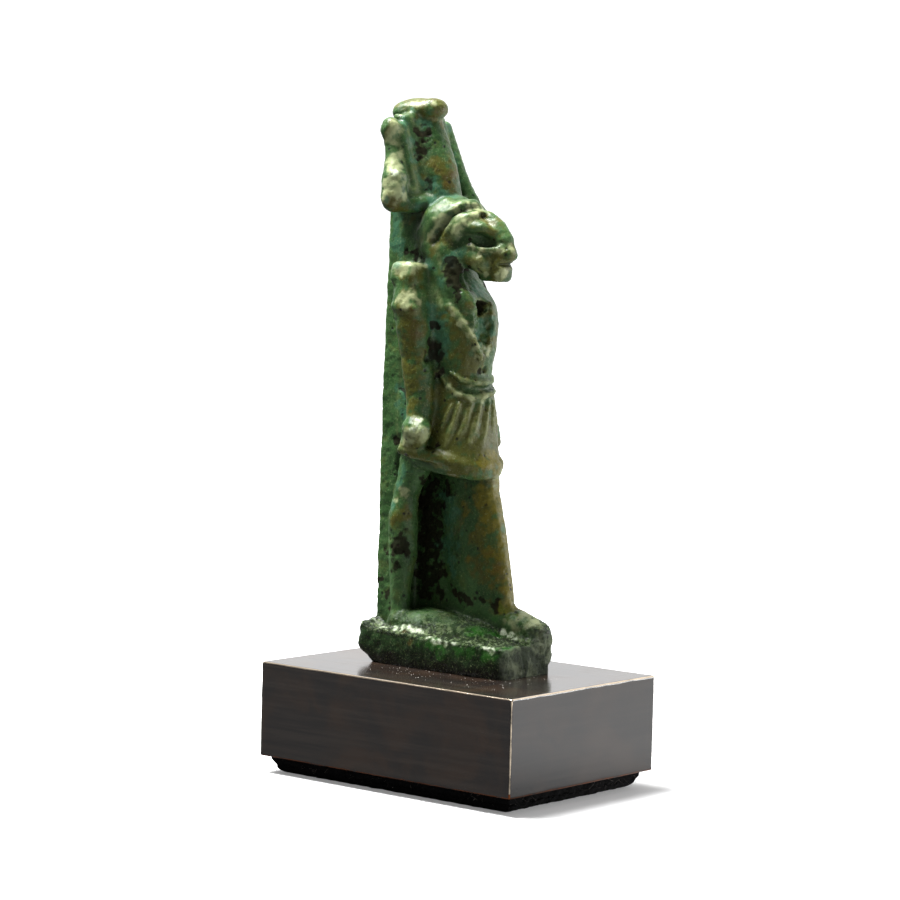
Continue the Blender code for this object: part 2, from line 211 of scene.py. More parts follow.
def loft(sections, slope=0.0, squareness=2.4, rounding=0.4):
    """Flat rounded sections of (z, x, y, half width, half depth), tipped up behind by slope."""
    table = np.array(sections, float)
    heights = table[:, 0]
    wide, deep = table[:, 3].max(), table[:, 4].max()
    low = [table[:, 1].min() - wide, table[:, 2].min() - deep, heights[0] - slope * deep]
    high = [table[:, 1].max() + wide, table[:, 2].max() + deep, heights[-1] + slope * deep]

    def distance(x, y, z):
        level = z - slope * (y - table[:, 2].mean())
        columns = (np.interp(level, heights, column) for column in table.T[1:])
        across, along, half_wide, half_deep = columns
        x, y = x - across, y - along
        n = squareness
        size = ((np.abs(x) / half_wide) ** n + (np.abs(y) / half_deep) ** n) ** (1 / n) + 1e-6
        side = np.sqrt(x * x + y * y) * (1 - 1 / size) + rounding
        end = np.maximum(heights[0] - level, level - heights[-1]) + rounding
        outside = np.sqrt(np.maximum(side, 0) ** 2 + np.maximum(end, 0) ** 2)
        return outside + np.minimum(np.maximum(side, end), 0) - rounding

    return low, high, distance


# The figure, from the base up


def press_base(clay):
    clay.add(loft(
        (
            (-3.95, 0.0, 0.5, 4.9, 9.5),
            (-3.3, 0.0, 0.7, 5.1, 9.85),
            (-2.2, 0.0, 1.15, 5.2, 10.4),
            (-1.2, 0.0, 1.35, 5.2, 10.5),
            (0.1, 0.0, 1.1, 5.1, 10.2),
        ),
        slope=0.025, squareness=11, rounding=0.45,
    ), 0.01)
    clay.add(limb((-4.2, 10.8, 0.1, 0.9), (-1.5, 11.0, 0.45, 0.95), (2.0, 11.0, 0.4, 0.95),
                  (4.2, 10.7, 0.1, 0.8)), 0.7)
    clay.add(limb((-4.2, 11.0, -1.6, 0.9), (0, 11.15, -1.6, 0.9), (4.2, 11.0, -1.6, 0.9)), 0.8)
    clay.cut(ball((5.4, -9.6, -3.1), (1.9, 1.5, 1.1)), 0.3)
    clay.cut(ball((1.6, -9.9, -2.9), (1.3, 0.5, 0.7)), 0.3)
    clay.cut(ball((-5.6, -5.5, -3.9), (0.8, 2.2, 0.7)), 0.4)


def press_feet(clay):
    """Feet, and the mound of glaze and slip between them."""
    clay.add(limb((-2.7, 7.4, 0.9, 1.35), (-2.6, 4.6, 0.7, 1.55), (-2.3, 1.4, 0.0, 1.25),
                  (-2.1, -0.2, -0.2, 0.95)), 0.8)
    clay.add(ball((-0.6, 4.6, 0.0), (2.9, 4.8, 2.7)), 1.2)
    clay.add(ball((0.1, 0.2, -0.7), (2.9, 5.0, 2.4)), 1.4)
    clay.add(limb((2.6, -3.6, 2.1, 1.7), (2.8, -5.2, 1.5, 1.75), (2.9, -6.8, 0.9, 1.75),
                  (3.0, -7.8, 0.6, 1.7)), 1.1)


def press_legs(clay):
    clay.add(limb(
        (-2.3, 5.4, 20.0, 2.0), (-2.65, 6.9, 15.6, 1.4), (-2.7, 7.15, 13.2, 1.65),
        (-2.65, 7.2, 11.4, 1.7), (-2.6, 7.2, 8.7, 1.6), (-2.75, 7.3, 5.5, 1.25),
        (-2.65, 7.3, 2.5, 1.08), (-2.7, 7.2, 1.0, 1.2),
    ), 0.5)
    clay.add(slab((-1.7, 8.2, 10.0), (1.6, 1.4, 20.0)), 0.4)
    clay.add(loft(
        (
            (0.5, 2.4, -0.9, 1.7, 3.95),
            (3.0, 2.3, -0.8, 1.75, 4.15),
            (5.0, 2.2, -0.55, 1.75, 4.2),
            (9.0, 2.1, 0.25, 1.85, 4.25),
            (13.0, 2.1, 0.75, 1.95, 4.0),
            (16.0, 2.1, 1.3, 2.0, 3.6),
            (20.5, 2.2, 1.9, 2.1, 3.6),
        ),
        squareness=2.5,
    ), 0.5)
    clay.add(slab((1.6, 5.6, 10.0), (1.5, 7.4, 21.0)), 0.5)


def press_body(clay):
    clay.add(loft(
        (
            (18.5, 0.0, 2.3, 4.2, 5.3),
            (19.2, 0.0, 2.3, 4.45, 5.65),
            (20.2, 0.0, 2.3, 4.35, 5.45),
            (22.0, 0.0, 2.4, 4.25, 5.2),
            (25.5, 0.0, 2.6, 3.9, 4.7),
            (28.4, 0.0, 2.9, 3.6, 4.6),
        ),
        slope=0.16, squareness=2.3,
    ), 0.3)
    clay.add(limb((-6.5, 4.4, 20.9, 0.55), (-6.1, 3.3, 20.6, 0.6), (-5.0, 1.6, 20.3, 0.7),
                  (-3.9, -0.2, 19.8, 0.7), (-2.7, -1.6, 19.3, 0.7), (-1.0, -2.5, 19.1, 0.7),
                  (0.6, -2.75, 19.1, 0.7), (2.4, -2.2, 19.3, 0.6)), 0.7)
    clay.add(loft(
        ((19.2, 0.0, 4.6, 4.1, 2.3), (20.2, 0.0, 4.6, 4.4, 2.6), (22.5, 0.0, 4.6, 4.2, 2.4),
         (24.5, 0.0, 4.6, 3.6, 2.2)),
        slope=0.3, squareness=5,
    ), 0.5)
    clay.add(loft(
        (
            (26.0, 0.0, 3.0, 3.5, 4.7),
            (29.0, 0.0, 3.1, 3.5, 4.95),
            (32.0, 0.0, 2.9, 3.7, 5.3),
            (35.0, 0.0, 2.8, 4.1, 5.35),
            (37.0, 0.0, 3.1, 4.3, 5.1),
            (39.0, 0.0, 4.0, 4.3, 4.2),
            (41.5, 0.0, 5.0, 4.0, 3.4),
        ),
        squareness=2.3,
    ), 0.3)
    clay.add(slab((0, 6.8, 33.0), (5.4, 3.6, 26.0)), 0.4)
    clay.add(slab((0, 6.6, 24.5), (5.6, 3.8, 5.5), 0.8), 0.6)


def press_arms(clay):
    clay.add(limb(
        (-5.2, 4.9, 39.0, 1.75), (-5.3, 4.5, 37.3, 2.05), (-5.1, 4.25, 34.5, 2.05),
        (-5.0, 4.15, 32.4, 1.8), (-4.9, 4.0, 31.2, 1.7), (-4.8, 3.65, 29.1, 1.75),
        (-4.75, 3.35, 26.8, 1.6), (-5.1, 3.2, 24.4, 1.4),
    ), 0.9)
    clay.add(slab((-5.0, 4.9, 40.3), (3.7, 3.6, 2.6), 0.8, turn=(0, 6, 0)), 0.4)
    clay.add(limb((-6.6, 5.6, 36.7, 0.5), (-7.05, 4.3, 36.6, 0.5), (-6.6, 3.1, 36.5, 0.5)), 0.5)
    clay.add(ball((-5.85, 2.9, 23.1), (1.5, 1.75, 1.65), turn=(-8, 6, 6)), 0.3)
    clay.add(ball((-5.65, 3.4, 21.7), (1.35, 1.6, 1.0)), 0.4)
    clay.add(limb(
        (4.9, 5.2, 39.0, 1.6), (5.0, 4.6, 37.3, 1.8), (5.0, 4.1, 34.5, 1.7), (5.0, 3.7, 31.5, 1.4),
        (5.1, 3.0, 29.1, 1.4), (5.2, 2.5, 26.8, 1.2), (5.5, 2.1, 24.4, 1.1),
    ), 0.45)
    clay.add(slab((4.5, 5.6, 40.2), (3.5, 3.3, 2.6), 0.8, turn=(0, -6, 0)), 0.4)
    clay.add(slab((5.75, 1.95, 22.1), (2.2, 2.6, 3.0), 0.8, turn=(-6, -6, -6)), 0.4)


def press_dress(clay):
    """Belt and pleats."""
    clay.add(limb(
        (-3.6, 2.1, 29.8, 0.22), (-3.55, 1.3, 28.95, 0.28), (-3.25, 0.65, 28.0, 0.32),
        (-2.85, -0.4, 27.15, 0.36), (-2.0, -1.4, 26.9, 0.42), (-0.25, -2.05, 27.05, 0.42),
        (1.0, -2.0, 27.25, 0.4), (2.0, -1.5, 27.45, 0.36), (2.9, -0.35, 27.9, 0.32),
        (3.25, 0.7, 28.6, 0.3), (3.6, 2.0, 29.8, 0.22),
    ), 0.25)
    clay.add(limb((-3.4, 0.3, 29.6, 0.15), (-2.8, -0.75, 28.8, 0.28), (-1.6, -1.65, 28.5, 0.36),
                  (0, -2.0, 28.45, 0.36), (1.4, -1.75, 28.55, 0.32), (2.6, -0.85, 29.0, 0.25)), 0.3)
    clay.cut(limb(
        (-3.75, 1.5, 30.4, 0.12), (-3.55, 0.75, 29.3, 0.2), (-3.15, -0.1, 28.45, 0.22),
        (-2.4, -1.1, 27.95, 0.24), (-1.3, -2.0, 27.75, 0.26), (0, -2.3, 27.75, 0.26),
        (1.2, -2.1, 27.95, 0.26), (2.5, -1.0, 28.4, 0.2), (3.3, 0.3, 29.2, 0.15),
    ), 0.15)
    folds = (
        [(-3.45, -0.1, 26.0, 0.16), (-3.7, 0.35, 24.8, 0.3), (-3.95, 0.9, 23.4, 0.16)],
        [(-3.0, -0.8, 26.2, 0.22), (-3.3, -0.6, 24.7, 0.34), (-3.55, -0.25, 23.1, 0.36),
         (-3.95, 0.25, 21.4, 0.2)],
        [(-1.85, -1.5, 26.1, 0.22), (-2.4, -1.4, 24.7, 0.34), (-2.8, -1.25, 23.5, 0.38),
         (-3.3, -0.8, 22.0, 0.22)],
        [(-0.6, -1.85, 26.3, 0.24), (-1.1, -1.95, 25.2, 0.34), (-1.6, -1.95, 23.9, 0.38),
         (-2.4, -1.95, 21.9, 0.24)],
        [(0.8, -1.95, 26.4, 0.24), (0.1, -2.15, 24.6, 0.34), (-0.45, -2.35, 23.0, 0.38),
         (-1.0, -2.5, 21.4, 0.24)],
        [(1.9, -1.6, 26.4, 0.24), (1.5, -1.95, 24.4, 0.36), (1.1, -2.3, 22.0, 0.26)],
        [(2.8, -0.95, 26.4, 0.24), (2.8, -1.2, 24.2, 0.36), (2.8, -1.4, 22.0, 0.26)],
        [(3.35, 0.0, 26.4, 0.24), (3.6, 0.1, 24.2, 0.36), (3.75, 0.3, 22.0, 0.26)],
    )
    for fold in folds:
        clay.add(limb(*fold), 0.32)


def press_wig(clay):
    clay.add(ball((0, 4.4, 43.2), (3.5, 3.2, 4.8)), 0.5)
    clay.add(slab((0, 6.8, 44.0), (5.2, 3.2, 9.0), 0.6), 0.6)
    clay.add(limb((-3.2, 3.4, 43.4, 1.1), (-3.0, 2.4, 40.8, 1.25), (-2.75, 0.9, 38.9, 1.25),
                  (-2.1, -0.7, 37.2, 0.95)), 0.6)
    clay.add(limb((-3.0, 1.5, 43.0, 1.0), (-2.8, 0.6, 40.8, 1.05), (-2.5, 0.2, 39.0, 1.0),
                  (-1.9, -0.4, 37.8, 0.8)), 0.8)
    clay.add(limb((3.2, 3.4, 43.4, 1.1), (2.7, 2.7, 40.6, 1.2), (2.4, 1.5, 38.4, 1.05),
                  (2.2, 0.15, 37.1, 0.9)), 0.35)


def press_head(clay):
    clay.add(ball((0, 0.4, 44.1), (2.75, 2.6, 3.1)), 0.5)
    clay.add(loft(
        ((39.75, 0, -2.95, 0.9, 1.7), (40.4, 0, -2.95, 1.15, 1.85), (41.6, 0, -2.9, 1.3, 2.0),
         (43.3, 0, -2.8, 1.35, 1.9)),
        squareness=5, rounding=0.3,
    ), 0.3)
    clay.add(limb((0, -1.2, 45.5, 1.2), (0, -3.0, 44.9, 1.05), (0, -4.2, 43.9, 0.95),
                  (0, -4.7, 43.2, 0.9)), 0.5)
    clay.add(ball((0, -4.85, 42.7), (1.1, 0.95, 0.85)), 0.4)
    clay.add(limb((0, -0.8, 44.2, 1.3), (0, -2.6, 43.9, 1.0), (0, -4.1, 43.4, 0.75)), 0.2)
    clay.add(limb((0, -1.9, 46.5, 0.9), (0, -3.3, 45.7, 0.85), (0, -4.3, 44.5, 0.75)), 0.7)
    for side in (list, mirrored):
        clay.add(limb(*side([(-1.6, -0.2, 42.7, 1.45), (-1.2, -2.0, 41.9, 1.25)])), 0.6)
        clay.add(limb(*side([(-2.5, -0.5, 45.7, 0.6), (-1.8, -2.2, 45.6, 0.65),
                             (-0.7, -3.3, 45.1, 0.6)])), 0.4)
        clay.add(limb(*side([(-2.4, -1.3, 43.7, 0.15), (-1.95, -2.7, 43.2, 0.28),
                             (-1.1, -4.25, 43.3, 0.28)])), 0.45)


def press_mane(clay):
    clay.add(limb((-3.5, 4.0, 43.2, 0.6), (-3.6, 3.1, 45.2, 0.75), (-3.1, 1.9, 46.9, 0.85),
                  (-1.8, 0.7, 47.7, 0.85), (0, 0.3, 47.8, 0.9), (1.8, 0.9, 47.2, 0.85),
                  (3.0, 2.2, 46.4, 0.8), (3.4, 3.6, 43.4, 0.7)), 0.5)
    clay.add(limb((-3.1, 4.4, 45.0, 1.1), (-3.0, 3.4, 46.6, 1.3), (-1.8, 2.6, 47.6, 1.3),
                  (0, 2.4, 47.8, 1.3), (2.4, 2.9, 47.2, 1.2), (3.0, 4.2, 45.0, 1.0)), 0.8)
    clay.add(limb((-3.1, 1.9, 43.8, 0.7), (-3.0, 1.3, 45.3, 0.85), (-2.4, 0.4, 46.5, 0.9),
                  (0, -0.3, 46.8, 0.9), (2.2, 0.9, 46.2, 0.8), (3.0, 2.0, 43.8, 0.8)), 0.6)
    clay.add(limb((-3.05, 0.5, 44.4, 0.4), (-2.95, 0.0, 45.8, 0.55), (-2.3, -0.8, 46.7, 0.55),
                  (-1.2, -1.3, 46.9, 0.55), (0, -1.4, 46.85, 0.6), (1.2, -1.0, 46.5, 0.55),
                  (2.4, -0.2, 46.0, 0.5), (3.0, 0.6, 44.6, 0.4)), 0.5)
    clay.add(ball((0, -1.0, 45.9), (2.2, 1.6, 1.1)), 0.5)
    clay.cut(limb((-4.0, 2.8, 43.8, 0.12), (-3.85, 1.9, 45.2, 0.28), (-3.2, 0.75, 46.9, 0.3),
                  (-1.8, -0.1, 47.75, 0.26), (-0.6, -0.5, 47.9, 0.12)), 0.4)
    clay.cut(ball((-0.95, -1.95, 46.95), (0.42, 0.42, 0.42)), 0.12)


def press_crown(clay):
    clay.add(loft(((-1.0, 0.0, 9.55, 2.85, 1.4), (25.0, 0.0, 9.5, 2.85, 1.3),
                   (57.6, 0.0, 8.9, 2.6, 1.25)),
                  squareness=12, rounding=0.3), 0.3)
    clay.add(loft(
        (
            (46.5, 0.0, 4.5, 2.5, 2.7),
            (49.0, 0.0, 5.2, 2.45, 2.6),
            (52.5, 0.0, 6.1, 2.3, 2.5),
            (55.5, 0.0, 7.1, 2.1, 2.3),
            (57.8, 0.0, 7.9, 1.8, 2.1),
        ),
        squareness=2.0,
    ), 0.4)
    clay.add(ball((0, 8.4, 58.65), (2.3, 3.1, 1.3)), 0.5)
    clay.add(ball((0, 6.3, 58.7), (1.55, 1.4, 1.2)), 0.5)
    clay.add(ball((-1.3, 9.7, 58.2), (1.3, 1.3, 1.0)), 0.6)
    for x, y in ((-3.0, 0.0), (2.9, 0.3)):
        clay.add(loft(
            (
                (48.4, x, 6.5 + y, 0.8, 1.4),
                (52.0, x, 7.2 + y, 0.9, 1.3),
                (55.5, x * 1.04, 7.9 + y, 0.85, 1.15),
                (58.0, x * 1.06, 8.4 + y, 0.7, 0.95),
            ),
            squareness=3.0,
        ), 0.3)
        clay.add(slab((x * 1.15, 8.6, 52.5), (2.8, 1.6, 9.0), 0.4), 0.5)
        clay.add(limb((x * 0.72, 6.0 + y, 49.0, 0.9), (x * 0.74, 6.9 + y, 53.0, 0.9),
                      (x * 0.72, 7.9 + y, 57.4, 0.8)), 0.7)
    clay.add(limb((-5.9, 6.9, 49.0, 1.45), (-5.7, 7.1, 50.9, 1.45), (-5.3, 7.6, 52.7, 1.05),
                  (-5.15, 8.0, 54.2, 0.85), (-5.1, 8.3, 55.4, 0.85)), 0.35)
    clay.add(ball((-5.2, 8.3, 56.3), (1.15, 1.15, 1.35)), 0.3)
    clay.add(limb((4.4, 8.5, 56.6, 0.9), (4.6, 7.9, 54.6, 1.0), (4.6, 6.7, 52.2, 0.95),
                  (4.8, 6.0, 50.3, 1.0), (5.2, 4.9, 48.2, 1.0), (5.4, 4.3, 47.4, 0.9)), 0.4)
    clay.add(limb((5.0, 7.4, 49.0, 1.2), (4.8, 7.6, 51.5, 1.1), (4.6, 8.2, 54.2, 0.9)), 0.5)
    clay.add(limb((0, 3.9, 48.2, 0.95), (-2.5, 4.8, 48.1, 0.95), (-4.6, 6.2, 48.0, 0.95),
                  (-5.9, 6.9, 48.4, 1.35)), 0.4)
    clay.add(limb((0, 3.9, 48.2, 0.95), (2.2, 4.6, 48.1, 0.95), (3.9, 5.2, 48.0, 0.95),
                  (5.3, 5.2, 48.2, 1.0)), 0.4)


def carve(clay):
    for side in (list, mirrored):
        clay.cut(limb(*side([(-2.65, -1.2, 44.3, 0.3), (-2.2, -2.5, 44.6, 0.6),
                             (-1.65, -3.8, 44.45, 0.5), (-1.2, -4.7, 44.2, 0.25)])), 0.25)
        clay.cut(limb(*side([(-2.3, -1.1, 44.15, 0.14), (-1.75, -2.4, 44.0, 0.22),
                             (-1.3, -3.6, 44.0, 0.22), (-0.9, -4.5, 44.05, 0.14)])), 0.1)
        clay.cut(limb(*side([(-2.7, 0.9, 40.4, 0.4), (-2.3, -0.4, 39.8, 0.7),
                             (-1.4, -1.0, 39.2, 0.7)])), 0.3)
        clay.cut(limb(*side([(-3.6, 2.6, 38.8, 0.25), (-3.5, 2.0, 37.0, 0.35)])), 0.3)
        clay.cut(limb(*side([(-1.95, -2.0, 42.3, 0.14), (-1.7, -2.15, 41.4, 0.2),
                             (-1.6, -2.2, 40.2, 0.2)])), 0.2)
    clay.cut(slab((0, -5.0, 41.65), (3.0, 1.3, 0.25), 0.1, turn=(-4, 0, 0)), 0.15)
    clay.add(limb((-3.8, 0.3, 37.1, 0.24), (-3.4, -0.45, 36.05, 0.34), (-3.05, -1.05, 35.05, 0.38),
                  (-2.5, -1.75, 33.8, 0.38), (-1.8, -2.3, 32.5, 0.34), (-1.35, -2.4, 31.2, 0.26)), 0.3)
    clay.cut(ball((-1.0, -2.8, 34.9), (1.6, 1.3, 2.9)), 0.15)
    clay.cut(ball((-0.5, -2.5, 37.3), (1.0, 1.1, 0.8)), 0.25)
    clay.cut(limb((-1.2, -2.5, 33.2, 0.5), (-0.8, -2.75, 31.6, 0.35)), 0.25)
    clay.add(limb((-2.9, -0.6, 37.9, 0.75), (-2.25, -1.15, 37.0, 0.75)), 0.35)
    clay.add(ball((0.95, -1.35, 36.75), (0.85, 0.8, 0.8)), 0.3)
    clay.cut(ball((-0.7, -1.7, 36.8), (0.75, 1.2, 0.8)), 0.2)
    clay.cut(ball((-0.1, -2.3, 29.9), (0.4, 0.7, 0.45)), 0.2)
    clay.cut(ball((-5.1, 2.2, 31.0), (0.45, 0.5, 0.4)), 0.3)
    clay.cut(limb((-6.0, 5.6, 51.4, 0.22), (-5.3, 5.35, 50.2, 0.3), (-4.5, 5.3, 49.2, 0.28)), 0.2)
    clay.cut(limb((-3.6, 6.0, 52.4, 0.12), (-3.75, 5.75, 50.6, 0.22), (-3.7, 5.7, 49.6, 0.2)), 0.2)
    clay.add(limb((-4.3, 7.6, 56.4, 0.7), (-4.2, 6.9, 53.4, 0.75), (-4.1, 6.4, 51.2, 0.8),
                  (-3.9, 6.1, 49.6, 0.8)), 0.5)
    clay.cut(limb((-4.7, 6.6, 54.6, 0.08), (-4.75, 6.1, 52.6, 0.16), (-4.6, 5.75, 51.0, 0.18),
                  (-4.2, 5.6, 49.9, 0.1)), 0.3)


def press_lug(clay):
    clay.add(ball((0, 10.2, 45.5), (1.3, 2.1, 2.3)), 0.4)
    clay.cut(limb((-2.5, 11.35, 45.5, 0.6), (2.5, 11.35, 45.5, 0.6)), 0.15)


def press_figure(step):
    clay = Clay((-8.2, -9.8, -4.4), (8.2, 13.2, 60.9), step)
    press_base(clay)
    press_feet(clay)
    press_legs(clay)
    press_body(clay)
    press_arms(clay)
    press_dress(clay)
    press_wig(clay)
    press_head(clay)
    press_mane(clay)
    press_crown(clay)
    carve(clay)
    press_lug(clay)
    return clay
